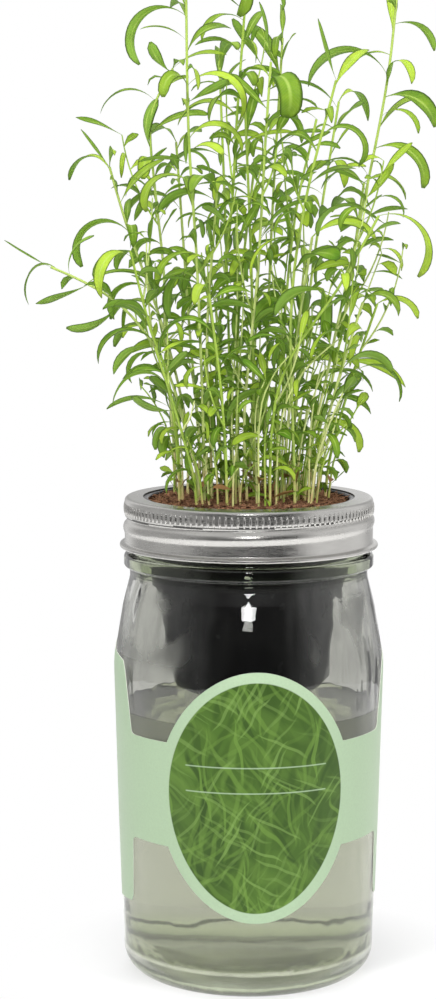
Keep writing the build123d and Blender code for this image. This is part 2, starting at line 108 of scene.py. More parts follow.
class StageSizes(PropertyGroup):
    lens: number("Lens", 88.04, "Focal length for a 36 mm high picture")
    camera_x: length("Camera sideways", -11.06, "Camera's place left of the jar's axis")
    camera_distance: length("Camera distance", 868.8, "Camera's distance in front of the jar's axis")
    camera_height: length("Camera height", 281.4, "Camera's height over the table")
    camera_tilt: degrees("Camera tilt", 7.2, "How far the camera looks down")
    table_radius: length("Table radius", 480.0, "Radius of the pale round table")
    shadow_radius: length("Shadow radius", 88.0, "Distance from the jar at which the table turns plain white")
    side_power: number("Side lights", 9.0, "Power of the key light on the left; the right one has three quarters of it")
    front_power: number("Front light", 2.6, "Power of the softbox above the camera")
    rear_power: number("Rear light", 4.5, "Power of the light behind the jar")
    top_power: number("Top light", 4.5, "Power of the soft light overhead")
    sky: number("Sky", 0.40, "Strength of the even light from all around")
    dark_front: number("Dark front", 0.05, "Strength of the studio's dark side, as gloss shows it")
    table_colour: colour("Table", (0.93, 0.93, 0.93), "Pale table")
    table_bounce: number("Table bounce", 0.5, "Share of the table's colour that it throws back on the object")


class JarSizes(PropertyGroup):
    foot_radius: length("Foot radius", 45.0, "Radius where the wall meets the foot")
    waist_radius: length("Waist radius", 46.9, "Radius at half height")
    waist_height: length("Waist height", 58.0, "Height of the waist")
    shoulder_radius: length("Shoulder radius", 48.4, "Radius at the shoulder")
    shoulder_height: length("Shoulder height", 115.0, "Height of the shoulder")
    upper_shoulder_radius: length("Upper shoulder radius", 45.3, "Radius at the upper shoulder")
    upper_shoulder_height: length("Upper shoulder height", 134.0, "Height of the upper shoulder")
    neck_radius: length("Neck radius", 42.7, "Radius of the groove under the bead")
    neck_height: length("Neck height", 144.5, "Height where the shoulder meets the neck")
    heel_rounding: length("Heel rounding", 16.0, "Radius of the rounded heel")
    waist_rounding: length("Waist rounding", 300.0, "Radius of the waist's bend")
    shoulder_rounding: length("Shoulder rounding", 40.0, "Radius of the shoulder's bend")
    upper_shoulder_rounding: length("Upper shoulder rounding", 20.0, "Radius of the upper shoulder's bend")
    neck_rounding: length("Neck rounding", 3.0, "Radius of the neck's bend")
    wall: length("Glass wall", 2.7, "Thickness of the glass")
    floor_thickness: length("Glass floor", 4.2, "Thickness of the floor over the raised bottom")
    floor_rounding: length("Inner heel", 11.0, "Inner rounding between floor and wall")
    push_up_height: length("Raised bottom", 3.0, "How far the bottom is pushed up")
    push_up_radius: length("Foot ring inner radius", 26.5, "Inner radius of the ring that the jar stands on")
    push_up_flat: length("Raised flat radius", 17.0, "Radius of the flat part of the raised bottom")
    push_up_rounding: length("Raised bottom rounding", 12.0, "Bend between the ring and the flat part")
    mouth_radius: length("Mouth radius", 38.2, "Inner radius of the mouth")
    mouth_taper: length("Mouth taper", 9.0, "Length of the mouth's lower taper")
    rim_rounding: length("Rim rounding", 1.1, "Rounding of the rim")
    bead_radius: length("Bead radius", 44.8, "Radius of the bead under the band")
    bead_low: length("Bead low", 148.2, "Lower edge of the bead")
    bead_high: length("Bead high", 153.0, "Upper edge of the bead")
    bead_rounding: length("Bead rounding", 1.9, "Rounding of the bead")
    root_radius: length("Thread root radius", 41.8, "Radius of the glass between the threads")
    root_rounding: length("Root rounding", 0.6, "Small rounding at the neck")
    thread_pitch: length("Thread pitch", 5.08, "Rise of the thread in one turn")
    thread_depth: length("Thread depth", 1.6, "How far the glass thread stands out")
    thread_half: length("Thread half height", 1.25, "Half height of the thread at its root")
    thread_turns: number("Thread turns", 1.25, "Turns of the glass thread")
    thread_below_rim: length("Thread below rim", 11.8, "Start of the thread below the rim")
    heel_wave: length("Heel wave", 0.8, "How unevenly the glass thickens at the inner heel")
    # The heel line is painted shade: a dark uneven tint line that stands for dark refraction at the inner heel.
    heel_shade_line: length("Heel line", 11.2, "Height of the dark uneven line at the rear of the inner heel")
    mist: number("Mist", 0.42, "Roughness of the misted patches at the shoulder")
    tick_height: length("Tick relief", 0.35, "How far the moulded measuring ticks stand out")
    water_level: length("Water level", 97.5, "Height of the water's surface")
    water_bite: length("Water overlap", 0.5, "How far the water's skin lies inside the glass")
    meniscus: length("Meniscus", 0.9, "How far the water climbs the wall")
    glass_colour: colour("Glass", (0.648, 0.652, 0.618), "Tint of the glass")
    foot_glass_colour: colour("Foot glass", (0.78, 0.855, 0.63), "Greener tint of the thick glass at the foot")
    water_colour: colour("Water", (0.94, 0.97, 0.80), "Tint of the water")


class LabelSizes(PropertyGroup):
    paper: length("Paper", 0.18, "Thickness of the paper")
    paste_gap: length("Paste", 0.06, "Gap between glass and paper")
    oval_low: length("Oval low", 29.0, "Lowest point of the front oval")
    oval_high: length("Oval high", 118.0, "Highest point of the front oval")
    oval_half_width: length("Oval half width", 33.6, "Half width of the front oval")
    print_margin: length("Print margin", 3.6, "Pale border round the printed oval")
    strip_low: length("Strip low", 54.2, "Lower edge of the strip round the jar")
    strip_high: length("Strip high", 91.5, "Upper edge of the strip round the jar")
    strip_rounding: length("Strip corners", 1.2, "Rounding of the cut corners on the strip")
    panel_low: length("Panel low", 26.0, "Lower edge of the side panels")
    panel_high: length("Panel high", 120.5, "Upper edge of the side panels")
    panel_edge_top: length("Panel edge at the top", 46.0, "Distance of a panel's front edge from the middle at its top")
    panel_edge_high: length("Panel edge over the strip", 43.8, "The same just over the strip")
    panel_edge_low: length("Panel edge under the strip", 43.2, "The same under the strip")
    panel_corner: length("Panel corner", 5.0, "Height of the slanted corners")
    panel_rear_edge: length("Panel rear edge", 45.5, "Distance of a panel's rear edge from the middle")
    panel_shift: length("Panel shift", 1.0, "How far the panels lie to the right of the oval's middle")
    seam: length("Seam", 1.2, "Gap at the rear seam")
    turn: degrees("Turn", 2.8, "How far the label is turned on the jar")
    rule_low: length("Lower rule", 75.5, "Height of the lower thin rule")
    rule_high: length("Upper rule", 84.5, "Height of the upper thin rule")
    paper_colour: colour("Paper", (0.475, 0.63, 0.42), "Pale mint paper")
    leaf_bright: colour("Print bright", (0.24, 0.40, 0.10), "Thin bright blades of the print")
    leaf_light: colour("Print light", (0.15, 0.28, 0.045), "Light green of the print")
    leaf_mid: colour("Print middle", (0.075, 0.16, 0.018), "Middle green of the print")
    leaf_dark: colour("Print dark", (0.030, 0.075, 0.006), "Darkest green of the print")


class BandSizes(PropertyGroup):
    sheet: length("Sheet", 0.4, "Thickness of the tinplate")
    inner_radius: length("Inner radius", 44.1, "Inside of the band's skirt")
    opening_radius: length("Opening radius", 37.9, "Radius of the opening in the top")
    corner_rounding: length("Corner", 1.4, "Rounding of the top corner")
    knurl_height: length("Knurl height", 4.4, "Height of the knurled belt")
    knurl_below_top: length("Knurl below top", 1.7, "Start of the knurled belt below the top")
    knurl_depth: length("Knurl depth", 0.42, "How far the knurl's ridges stand out")
    knurl_count: count("Knurl count", 132, "Ridges round the band")
    lip_flare: length("Lip flare", 1.8, "How far the lower lip flares out")
    lip_height: length("Lip height", 2.6, "Height of the flared lip")
    lip_bead: length("Lip bead", 1.1, "Height of the curled edge of the lip")
    roll_depth: length("Rolled thread depth", 0.75, "How far the rolled thread shows outside")
    roll_height: length("Rolled thread height", 9.6, "Middle of the rolled thread above the lip")
    metal_colour: colour("Tinplate", (0.52, 0.51, 0.49), "Colour of the tinplate")


class PotSizes(PropertyGroup):
    flange_radius: length("Flange radius", 41.6, "Radius of the flange on the rim")
    wall: length("Wall", 1.3, "Wall of the pot")
    floor_radius: length("Floor radius", 27.9, "Radius at the floor")
    mouth_gap: length("Mouth gap", 0.9, "Gap between the pot and the jar's mouth")
    corner_rounding: length("Corner", 5.0, "Rounding of the lower corner")
    flange_rounding: length("Flange rounding", 0.8, "Rounding of the flange")
    slot_count: count("Root slots", 8, "Slots in the floor")
    slot_width: length("Slot width", 2.6, "Width of a slot")
    slot_inner: length("Slot start", 11.0, "Inner end of a slot")
    slot_outer: length("Slot end", 22.0, "Outer end of a slot")
    wick_width: length("Wick width", 9.0, "Width of the wick")
    wick_thickness: length("Wick thickness", 2.6, "Thickness of the wick")
    wick_gap: length("Wick gap", 0.4, "Clearance round the wick")
    wick_trim: length("Wick trim", 5.0, "How far the dressed wick ends above the solid one")
    plastic_colour: colour("Plastic", (0.004, 0.004, 0.0045), "Black plastic")
    felt_colour: colour("Felt", (0.62, 0.605, 0.555), "Wick felt")


class CoirSizes(PropertyGroup):
    plug_gap: length("Gap", 0.35, "Gap between the plug and the pot")
    crown: length("Crown", 2.6, "How far the edge drops below the crown")
    crown_radius: length("Crown radius", 31.5, "Radius of the flat crown")
    fibre_length: length("Fibre length", 5.0, "Length of a loose fibre")
    crumb_size: length("Crumb size", 1.6, "Size of a loose crumb")
    fibre_count: count("Fibres", 2200, "Loose fibres on the crown")
    crumb_count: count("Crumbs", 1500, "Loose crumbs on the crown")
    light_colour: colour("Light coir", (0.44, 0.23, 0.135), "Dry fibres")
    dark_colour: colour("Dark coir", (0.045, 0.018, 0.010), "Damp coir")


class HerbSizes(PropertyGroup):
    crown_reach: length("Crown reach", 88.0, "How far the crown reaches sideways")
    crown_height: length("Crown height", 186.0, "How far the crown reaches over the plug")
    stem_base_radius: length("Stem base", 0.85, "Room kept round a stem at its foot")
    stem_tip_radius: length("Stem tip", 0.45, "Radius of a stem at its tip")
    stem_share: number("Stem fullness", 0.62, "A stem's radius as a share of its room")
    stem_step: length("Stem step", 12.0, "Distance between the points along a stem")
    leaf_length: length("Leaf length", 30.0, "Length of a full leaf")
    leaf_width: length("Leaf width", 5.2, "Width of a full leaf")
    petiole_width: length("Leaf stalk", 1.0, "Width of a leaf at its foot")
    node_pitch: length("Node pitch", 11.0, "Distance between the leaves along a stem")
    foot_leaf_zone: length("Foot leaf zone", 24.0, "Height over the plug below which leaves stay short")
    leaf_clearance: length("Leaf clearance", 0.45, "Least gap between leaves")
    young_length: length("Young leaf length", 13.0, "Length of the small leaves between the large ones")
    young_width: length("Young leaf width", 2.9, "Width of the small leaves")
    young_pitch: length("Young leaf pitch", 5.2, "Distance between the small leaves along a stem")
    shoot_length: length("Shoot length", 34.0, "Length of a side shoot")
    shoot_radius: length("Shoot radius", 0.38, "Radius of a side shoot")
    sprout_radius: length("Sprout radius", 0.40, "Radius of a young stem at its foot")
    sprout_reach: length("Sprout reach", 30.5, "Largest distance of a young stem's foot from the pot's middle")
    sprout_spread: length("Sprout spread", 5.2, "Distance of the young stems from the stem that they stand by")
    shoot_pitch: length("Shoot pitch", 48.0, "Distance between the side shoots along a stem")
    shoot_leaf_pitch: length("Shoot leaf pitch", 4.2, "Distance between the leaves along a shoot")
    leaf_colour: colour("Leaf", (0.135, 0.30, 0.014), "Full green of a leaf")
    young_colour: colour("Young leaf", (0.76, 0.98, 0.09), "Yellow green of a young leaf")
    under_colour: colour("Underside", (0.34, 0.56, 0.08), "Pale green of a leaf's underside")
    stem_colour: colour("Stem", (0.50, 0.70, 0.10), "Yellow green stem")
    pale_colour: colour("Pale stem", (0.95, 1.0, 0.44), "Palest stems")
    foot_colour: colour("Stem foot", (0.82, 0.66, 0.31), "Pinkish brown foot of a stem")
    # Painted shade on a leaf's rim, and the own colour of its brown tip.
    rim_shade_and_tip_colour: colour("Leaf rim", (0.035, 0.085, 0.008), "Dark rim and tip of a leaf")
    dry_colour: colour("Dry leaf", (0.42, 0.20, 0.09), "Withered leaf over the soil")


# Where each stem stands on the plug and the points that it passes, as shares of the crown's reach and height.
STEM_SHARES = [
    ((-0.20, -0.10), (-0.245, -0.12, 0.119), (-0.335, -0.12, 0.255), (-0.483, -0.12, 0.357),
     (-0.64, -0.12, 0.41), (-0.79, -0.14, 0.443)),
    ((-0.25, 0.09), (-0.26, 0.09, 0.145), (-0.35, 0.07, 0.325), (-0.49, 0.03, 0.515), (-0.56, 0.0, 0.63)),
    ((-0.28, -0.16), (-0.32, -0.19, 0.225), (-0.39, -0.22, 0.325), (-0.47, -0.25, 0.475)),
    ((-0.30, 0.17), (-0.34, 0.20, 0.27), (-0.35, 0.25, 0.43), (-0.39, 0.28, 0.61), (-0.40, 0.28, 0.73),
     (-0.31, 0.26, 0.82)),
    ((-0.18, -0.20), (-0.205, -0.25, 0.415), (-0.24, -0.27, 0.69), (-0.25, -0.25, 0.97)),
    ((-0.11, 0.05), (-0.13, 0.05, 0.25), (-0.07, 0.06, 0.555), (-0.05, 0.07, 0.72), (-0.01, 0.09, 0.98)),
    ((-0.01, -0.16), (-0.02, -0.17, 0.17), (0.03, -0.20, 0.43), (0.06, -0.23, 0.68), (0.08, -0.23, 0.82)),
    ((0.18, -0.23), (0.16, -0.27, 0.34), (0.21, -0.30, 0.555), (0.33, -0.32, 0.785)),
    ((0.11, 0.02), (0.17, 0.03, 0.48), (0.27, 0.05, 0.72)),
    ((0.22, -0.07), (0.31, -0.08, 0.235), (0.45, -0.09, 0.555), (0.54, -0.09, 0.78), (0.58, -0.09, 0.95)),
    ((0.08, -0.28), (0.12, -0.33, 0.235), (0.34, -0.42, 0.41), (0.49, -0.46, 0.54)),
    ((0.25, 0.11), (0.35, 0.14, 0.235), (0.41, 0.16, 0.40), (0.47, 0.18, 0.60)),
    ((-0.20, 0.24), (-0.25, 0.32, 0.35), (-0.30, 0.42, 0.68)),
    ((-0.07, 0.28), (-0.09, 0.38, 0.45), (-0.12, 0.50, 0.84)),
    ((0.07, 0.19), (0.09, 0.26, 0.45), (0.14, 0.34, 0.88)),
    ((0.18, 0.23), (0.26, 0.34, 0.40), (0.38, 0.48, 0.76)),
    ((0.31, -0.01), (0.40, 0.02, 0.20), (0.52, 0.05, 0.37)),
    ((-0.15, -0.06), (-0.17, -0.12, 0.30), (-0.13, -0.16, 0.58)),
    ((0.02, -0.03), (0.01, -0.06, 0.40), (-0.02, -0.07, 0.76)),
    ((-0.05, 0.14), (-0.04, 0.16, 0.35), (0.02, 0.20, 0.62)),
    ((0.14, -0.12), (0.18, -0.20, 0.28), (0.24, -0.33, 0.50)),
    ((-0.09, -0.30), (-0.11, -0.38, 0.20), (-0.16, -0.48, 0.40)),
    ((0.25, -0.17), (0.33, -0.24, 0.20), (0.44, -0.30, 0.38)),
    ((0.01, 0.33), (0.03, 0.42, 0.28), (0.06, 0.55, 0.56)),
    ((-0.21, -0.26), (-0.28, -0.33, 0.16), (-0.37, -0.41, 0.30)),
    ((0.15, 0.31), (0.19, 0.40, 0.22), (0.24, 0.48, 0.44)),
]

# The leaves that show at the crown's edge: stem, place along it, azimuth, length, width, then rise, curl and roll
# in degrees. Place, length and width are shares; azimuth 0 points right and 90 away from the front.
EDGE_LEAF_SHARES = [
    (0, 1.00, 180, 0.62, 0.42, 24, -12, 30),
    (0, 0.93, 176, 0.62, 0.42, 72, -100, 40),
    (0, 0.86, 182, 0.66, 0.70, -30, -20, 60),
    (0, 0.74, 178, 0.72, 0.70, -62, -75, 70),
    (0, 0.60, 184, 0.80, 0.70, 88, 120, 55),
    (0, 0.52, 182, 0.62, 0.55, 28, 150, 50),
    (1, 1.00, 180, 0.55, 0.45, 50, -5, 45),
    (1, 0.98, 120, 0.60, 0.45, 76, 10, 30),
    (1, 0.97, 20, 0.55, 0.75, 82, 0, 60),
    (1, 0.80, 180, 1.05, 0.80, 52, 175, 55),
    (1, 0.62, 182, 0.80, 0.70, 44, 165, 60),
    (1, 0.70, 20, 0.55, 0.85, 66, 120, 40),
    (2, 1.00, 185, 0.60, 0.60, 10, 100, 50),
    (2, 0.98, 60, 0.60, 0.60, 72, 10, 50),
    (3, 0.80, 180, 0.66, 0.95, 62, -70, 60),
    (3, 0.72, 178, 0.50, 0.70, -58, 5, 60),
    (3, 0.58, 180, 0.50, 0.75, 42, 150, 60),
    (3, 0.56, 355, 0.42, 0.75, 42, 120, 50),
    (3, 1.00, 5, 0.70, 0.60, 44, 60, 40),
    (3, 0.99, 190, 0.45, 0.85, 30, -50, 60),
    (4, 0.93, 180, 1.15, 0.85, 42, 175, 50),
    (4, 0.80, 0, 1.05, 0.85, 52, 170, 50),
    (4, 0.70, 10, 0.85, 0.75, 62, 150, 55),
    (4, 1.00, 0, 1.20, 1.25, 60, 190, 50),
    (5, 1.00, 130, 0.70, 0.60, 75, 10, 0),
    (5, 0.86, 186, 0.62, 0.45, 55, 90, 50),
    (6, 1.00, 150, 0.70, 0.80, 82, 10, 40),
    (6, 0.94, 300, 0.90, 1.60, 62, 210, 20),
    (7, 1.00, 178, 0.72, 0.55, 68, -10, 40),
    (7, 0.86, 2, 0.90, 0.80, 64, 195, 55),
    (7, 0.55, 300, 1.00, 1.30, 40, 60, 30),
    (8, 1.00, 180, 0.72, 0.50, 46, 115, 50),
    (9, 0.84, 180, 1.25, 0.80, 68, 150, 50),
    (9, 0.80, 2, 0.78, 1.45, 22, 105, 55),
    (9, 0.70, 358, 0.90, 1.05, 26, 130, 60),
    (9, 0.60, 8, 0.55, 0.75, 40, -20, 60),
    (9, 1.00, 0, 0.60, 0.75, 60, 5, 40),
    (10, 1.00, 0, 1.10, 0.75, 18, 150, 50),
    (10, 0.72, 180, 0.80, 1.20, 30, 100, 40),
    (11, 0.42, 0, 0.95, 0.85, 18, 72, 55),
    (11, 0.22, 358, 0.70, 0.85, 30, 130, 60),
    (11, 1.00, 20, 0.70, 0.80, 40, 120, 40),
    (16, 1.00, 10, 0.62, 0.80, 35, 110, 60),
    (16, 0.62, 200, 0.50, 0.70, 35, 80, 50),
    (22, 1.00, 20, 0.62, 0.95, 50, 140, 55),
    (12, 1.00, 120, 0.85, 0.80, 50, 90, 30),
    (13, 1.00, 90, 1.00, 0.80, 50, 120, 20),
    (15, 1.00, 60, 1.00, 0.80, 45, 120, 20),
    (17, 1.00, 250, 0.95, 1.30, 50, 100, 20),
    (20, 1.00, 20, 0.90, 1.20, 45, 95, 50),
    (21, 1.00, 255, 0.70, 0.90, 45, 110, 10),
    (24, 1.00, 182, 0.62, 0.75, 12, 90, 60),
    (24, 0.60, 184, 0.55, 0.65, -12, -60, 60),
    (23, 1.00, 95, 0.95, 0.80, 40, 110, 10),
]

# A leaf's outline from its foot to its tip, and how the leaves along a stem differ.
LEAF_WIDTH_SHARES = (0.0, 0.14, 0.66, 0.98, 1.0, 0.7, 0.12)
LEAF_LENGTH_MEAN_SHARE = 0.78
LEAF_LENGTH_SWING_SHARE = 0.24
FOOT_LEAF_LENGTH_SHARE = 0.55
LEAF_WIDTH_MEAN_SHARE = 0.76
LEAF_WIDTH_SWING_SHARE = 0.24
LEAF_RISE_DEGREES = 50
LEAF_RISE_SWING_DEGREES = 16
LEAF_CURL_DEGREES = 100
LEAF_CURL_SWING_DEGREES = 60
LEAF_ROLL_DEGREES = 48
LEAF_TURN_TRIES = 12
LEAF_TURN_DEGREES = 14.5
GOLDEN_DEGREES = 137.5
STEM_TURN_DEGREES = 61
LEAF_STEPS = 6
SPROUT_COUNT = 4
TUFT_COUNT = 18
# The tone of a withered leaf; the tones of the green ones lie between 0 and 1.
WITHERED_TONE = 1.2
# Heights over the soil as shares of the crown's, and a small leaf's length there.
SMALL_LEAF_SHARES = ((0.10, 0.20, 0.42, 0.56, 0.85), (0.62, 0.86, 0.80, 1.15, 1.25))
# The two finer outlines between which the dressed leaves lie: with a round tip and with a narrow one.
FINE_WIDTH_SHARES = (0.12, 0.14, 0.28, 0.50, 0.70, 0.85, 0.95, 1.0, 1.0, 1.0, 0.97, 0.82, 0.30)
NARROW_WIDTH_SHARES = (0.11, 0.12, 0.22, 0.42, 0.66, 0.84, 0.96, 1.0, 0.96, 0.86, 0.68, 0.42, 0.06)


# The veins of a blade: how many there are, and how far they slant from its rib to its rim.
VEIN_COUNT = 26.0
VEIN_SLANT = 3.0
SHADOW_TINT_POWER = 0.1
GLASS_IOR = 1.5
WATER_IOR = 1.333
# Segments round the axis of each turned piece.
JAR_SEGMENTS, WATER_SEGMENTS, BAND_SEGMENTS, POT_SEGMENTS, COIR_SEGMENTS = 240, 192, 264, 160, 180
# The moulded ticks: height in mm, then angle from the front and half width in radians.
GLASS_TICKS = ((12.5, -0.2, 0.07), (12.5, 0.36, 0.05), (19.0, -1.32, 0.035), (26.0, -1.32, 0.035))
# The uneven inner heel: waves round the jar, their shift in radians and their share.
HEEL_WAVES = ((5, 1, 1.0), (11, 0, 0.7), (23, 2, 0.5), (41, 0, 0.4))


# Mesh helpers.
def new_object(name, mesh):
    piece = bpy.data.objects.new(name, mesh)
    bpy.context.scene.collection.objects.link(piece)
    return piece


def rounded_rows(corners, turn_step=math.radians(7)):
    """(radius, height) rows along an open outline of (radius, height, rounding) corners, with round corners as arcs."""
    rows = []
    for i, (r, z, rounding) in enumerate(corners):
        here = Vector((r, z))
        if rounding <= 0 or i in (0, len(corners) - 1):
            rows.append(here)
            continue
        back = Vector(corners[i - 1][:2]) - here
        ahead = Vector(corners[i + 1][:2]) - here
        u, v = back.normalized(), ahead.normalized()
        half = u.angle(v) / 2
        reach = min(rounding / math.tan(half), 0.49 * back.length, 0.49 * ahead.length)
        radius = reach * math.tan(half)
        centre = here + (u + v).normalized() * (radius / math.sin(half))
        start, end = here + u * reach - centre, here + v * reach - centre
        turn = start.angle_signed(end)
        steps = max(2, math.ceil(abs(turn) / turn_step))
        for n in range(steps + 1):
            rows.append(centre + Matrix.Rotation(-turn * n / steps, 2) @ start)
    return [(p.x, p.y) for p in rows]


def divided(rows, gap):
    """The same points, with more between them where two are further apart than the gap."""
    out = [rows[0]]
    for a, b in zip(rows, rows[1:]):
        steps = max(1, math.ceil(math.dist(a, b) / gap))
        out += [tuple(p + (q - p) * n / steps for p, q in zip(a, b)) for n in range(1, steps + 1)]
    return out


def between(a, b, share):
    """The point at a share of the way from a to b, in two or three dimensions."""
    return tuple(p + (q - p) * share for p, q in zip(a, b))


def total_length(points):
    return sum(math.dist(a, b) for a, b in zip(points, points[1:]))


def lathe(name, rows, segments, push=None, looped=False, sharp=math.radians(40)):
    """A surface turned from (radius, height) rows; push gives the extra radius at (angles, radius, height)."""
    angles = np.arange(segments) * TAU / segments
    mesh = bmesh.new()
    rings = []
    for r, z in rows:
        if r < 1e-7:
            rings.append([mesh.verts.new((0, 0, z))])
            continue
        radii = r + (push(angles, r, z) if push else 0 * angles)
        rings.append([mesh.verts.new((q * math.cos(a), q * math.sin(a), z)) for q, a in zip(radii, angles)])
    for low, high in zip(rings, rings[1:] + rings[:1] if looped else rings[1:]):
        for k in range(segments if len(low) + len(high) > 2 else 0):
            n = (k + 1) % segments
            corners = low[k % len(low)], low[n % len(low)], high[n % len(high)], high[k % len(high)]
            mesh.faces.new(tuple(dict.fromkeys(corners)))
    return finished(name, mesh, sharp)


def mesh_of(name, mesh):
    """The bmesh as mesh data."""
    data = bpy.data.meshes.new(name)
    mesh.to_mesh(data)
    mesh.free()
    return data


def smooth(data, sharp):
    """Shades the faces smooth, except where they meet at more than the sharp angle."""
    data.shade_smooth()
    data.set_sharp_from_angle(angle=sharp)


def finished(name, mesh, sharp=math.radians(40)):
    """The bmesh as a new smooth object with outward faces."""
    bmesh.ops.remove_doubles(mesh, verts=mesh.verts, dist=1e-6)
    bmesh.ops.recalc_face_normals(mesh, faces=mesh.faces)
    data = mesh_of(name, mesh)
    smooth(data, sharp)
    return new_object(name, data)


def sliced(mesh, place, normal):
    """Divides the faces where a plane crosses them."""
    geometry = mesh.verts[:] + mesh.edges[:] + mesh.faces[:]
    bmesh.ops.bisect_plane(mesh, geom=geometry, dist=1e-7, plane_co=place, plane_no=normal)


def in_order(mesh):
    """The same faces, each from its lowest corner and in one order: a plane cut lists them differently in each run."""
    mesh.verts.index_update()
    ordered = bmesh.new()
    verts = [ordered.verts.new(v.co) for v in mesh.verts]
    faces = [[v.index for v in face.verts] for face in mesh.faces]
    for corners in sorted(face[(n := face.index(min(face))):] + face[:n] for face in faces):
        ordered.faces.new([verts[k] for k in corners])
    mesh.free()
    return ordered


def painted(piece, *materials):
    """Gives the piece its materials in the order of its faces' numbers."""
    for material in materials:
        piece.data.materials.append(material)


def bump_curve(distance, half):
    """A smooth hump: 1 in its middle and 0 beyond its half width."""
    return np.clip(1 - (distance / half) ** 2, 0, 1) ** 2


def plain_mesh(piece):
    """Applies the piece's modifiers to its mesh."""
    graph = bpy.context.evaluated_depsgraph_get()
    shape = piece.evaluated_get(graph)
    result = bpy.data.meshes.new_from_object(shape, preserve_all_data_layers=True, depsgraph=graph)
    piece.modifiers.clear()
    old, piece.data = piece.data, result
    bpy.data.meshes.remove(old)
    result.name = piece.name
    return piece


# Node helpers.
class Value:
    """An output socket that takes arithmetic: every operation adds a node to its tree."""

    def __init__(self, socket):
        self.socket = socket

    def math(self, operation, other=0.0, clamp=False):
        values = {0: self, 1: other}
        return made(self.socket.id_data, "ShaderNodeMath", values, operation=operation, use_clamp=clamp)

    def ranged(self, low, high, to_low=0.0, to_high=1.0):
        values = {"Value": self, "From Min": low, "From Max": high, "To Min": to_low, "To Max": to_high}
        return made(self.socket.id_data, "ShaderNodeMapRange", values)

    def __add__(self, other):
        return self.math("ADD", other)

    def __sub__(self, other):
        return self.math("SUBTRACT", other)

    def __mul__(self, other):
        return self.math("MULTIPLY", other)

    def __truediv__(self, other):
        return self.math("DIVIDE", other)

    def __pow__(self, other):
        return self.math("POWER", other)

    def __abs__(self):
        return self.math("ABSOLUTE")


def plug(tree, value, socket):
    """Links a value to an input, or sets the input to it."""
    value = getattr(value, "socket", value)
    if isinstance(value, bpy.types.NodeSocket):
        tree.links.new(value, socket)
    else:
        socket.default_value = (*value[:3], 1.0) if socket.type == "RGBA" else value


def wire(tree, kind, values=None, **settings):
    """Adds a node, sets what it is told, and fills or links its inputs by name or number."""
    node = tree.nodes.new(kind)
    for key, value in settings.items():
        setattr(node, key, value)
    for key, value in (values or {}).items():
        plug(tree, value, node.inputs[key])
    return node


def made(tree, kind, values=None, output=0, **settings):
    """Adds a node and gives one of its outputs."""
    return Value(wire(tree, kind, values, **settings).outputs[output])


def parts_of(tree, vector):
    return [Value(socket) for socket in wire(tree, "ShaderNodeSeparateXYZ", {0: vector}).outputs]


def mixed(tree, factor, a, b):
    return made(tree, "ShaderNodeMix", {0: factor, 6: a, 7: b}, 2, data_type="RGBA")


def scaled(tree, colour, factor):
    return made(tree, "ShaderNodeVectorMath", {0: colour[:], 1: factor}, operation="MULTIPLY")


def noise_value(tree, place, scale, detail=3.0, roughness=0.5):
    return made(tree, "ShaderNodeTexNoise", {"Vector": place, "Scale": scale, "Detail": detail, "Roughness": roughness})


def object_place(tree, scale=(1, 1, 1), turn=(0, 0, 0)):
    """Object coordinates, stretched and turned."""
    place = made(tree, "ShaderNodeTexCoord", output="Object")
    return made(tree, "ShaderNodeMapping", {"Vector": place, "Scale": scale, "Rotation": turn})


def bumped(tree, height, distance, strength=1.0):
    return made(tree, "ShaderNodeBump", {"Height": height, "Distance": distance, "Strength": strength})


def new_material(name):
    """A node material with one Principled shader: returns the material, its tree and the shader."""
    material = bpy.data.materials.new(name)
    material.use_nodes = True
    tree = material.node_tree
    tree.nodes.clear()
    shader = wire(tree, "ShaderNodeBsdfPrincipled")
    wire(tree, "ShaderNodeOutputMaterial", {"Surface": shader.outputs[0]})
    return material, tree, shader


def feed(tree, shader, **sockets):
    """Sets or links the shader's inputs; underscores stand for spaces."""
    for key, value in sockets.items():
        plug(tree, value, shader.inputs[key.replace("_", " ")])


def blended(tree, factor, first, second):
    """Mixes two shaders and shows the mix as the surface."""
    blend = wire(tree, "ShaderNodeMixShader", {0: factor, 1: first.outputs[0], 2: second.outputs[0]})
    end = next(n for n in tree.nodes if n.type.startswith("OUTPUT"))
    tree.links.new(blend.outputs[0], end.inputs["Surface"])
    return blend


def new_group(name, kind, inputs, outputs):
    """A node group from {input: (type, default)} and {output: type}: the group, its inputs by name, its output node."""
    group = bpy.data.node_groups.new(name, kind)
    for label, (socket_type, default) in inputs.items():
        socket = group.interface.new_socket(label, in_out="INPUT", socket_type="NodeSocket" + socket_type)
        if default is not None:
            socket.default_value = default
    for label, socket_type in outputs.items():
        group.interface.new_socket(label, in_out="OUTPUT", socket_type="NodeSocket" + socket_type)
    given = group.nodes.new("NodeGroupInput").outputs
    return group, {label: Value(given[label]) for label in inputs}, group.nodes.new("NodeGroupOutput")


def group_outputs(tree, group, **values):
    """Adds a shader group with its inputs set by name, and gives its outputs by name."""
    node = wire(tree, "ShaderNodeGroup", node_tree=group)
    for key, value in values.items():
        plug(tree, value, node.inputs[key.replace("_", " ")])
    return {socket.name: Value(socket) for socket in node.outputs}


def speckle_group():
    """Fine and coarse mottling on Object coordinates: two colour factors and their product as a height."""
    inputs = {"Coarse scale": ("Float", 60.0), "Fine scale": ("Float", 900.0)}
    outputs = {"Patches": "Float", "Grain": "Float", "Both": "Float"}
    group, given, out = new_group("mottling", "ShaderNodeTree", inputs, outputs)
    place = object_place(group)
    patches = noise_value(group, place, given["Coarse scale"], detail=4.0)
    grain = noise_value(group, place, given["Fine scale"], detail=2.0)
    for name, value in (("Patches", patches), ("Grain", grain), ("Both", patches * grain)):
        plug(group, value, out.inputs[name])
    return group


def mottling(tree, coarse, fine):
    group = bpy.data.node_groups.get("mottling") or speckle_group()
    return group_outputs(tree, group, Coarse_scale=coarse, Fine_scale=fine)


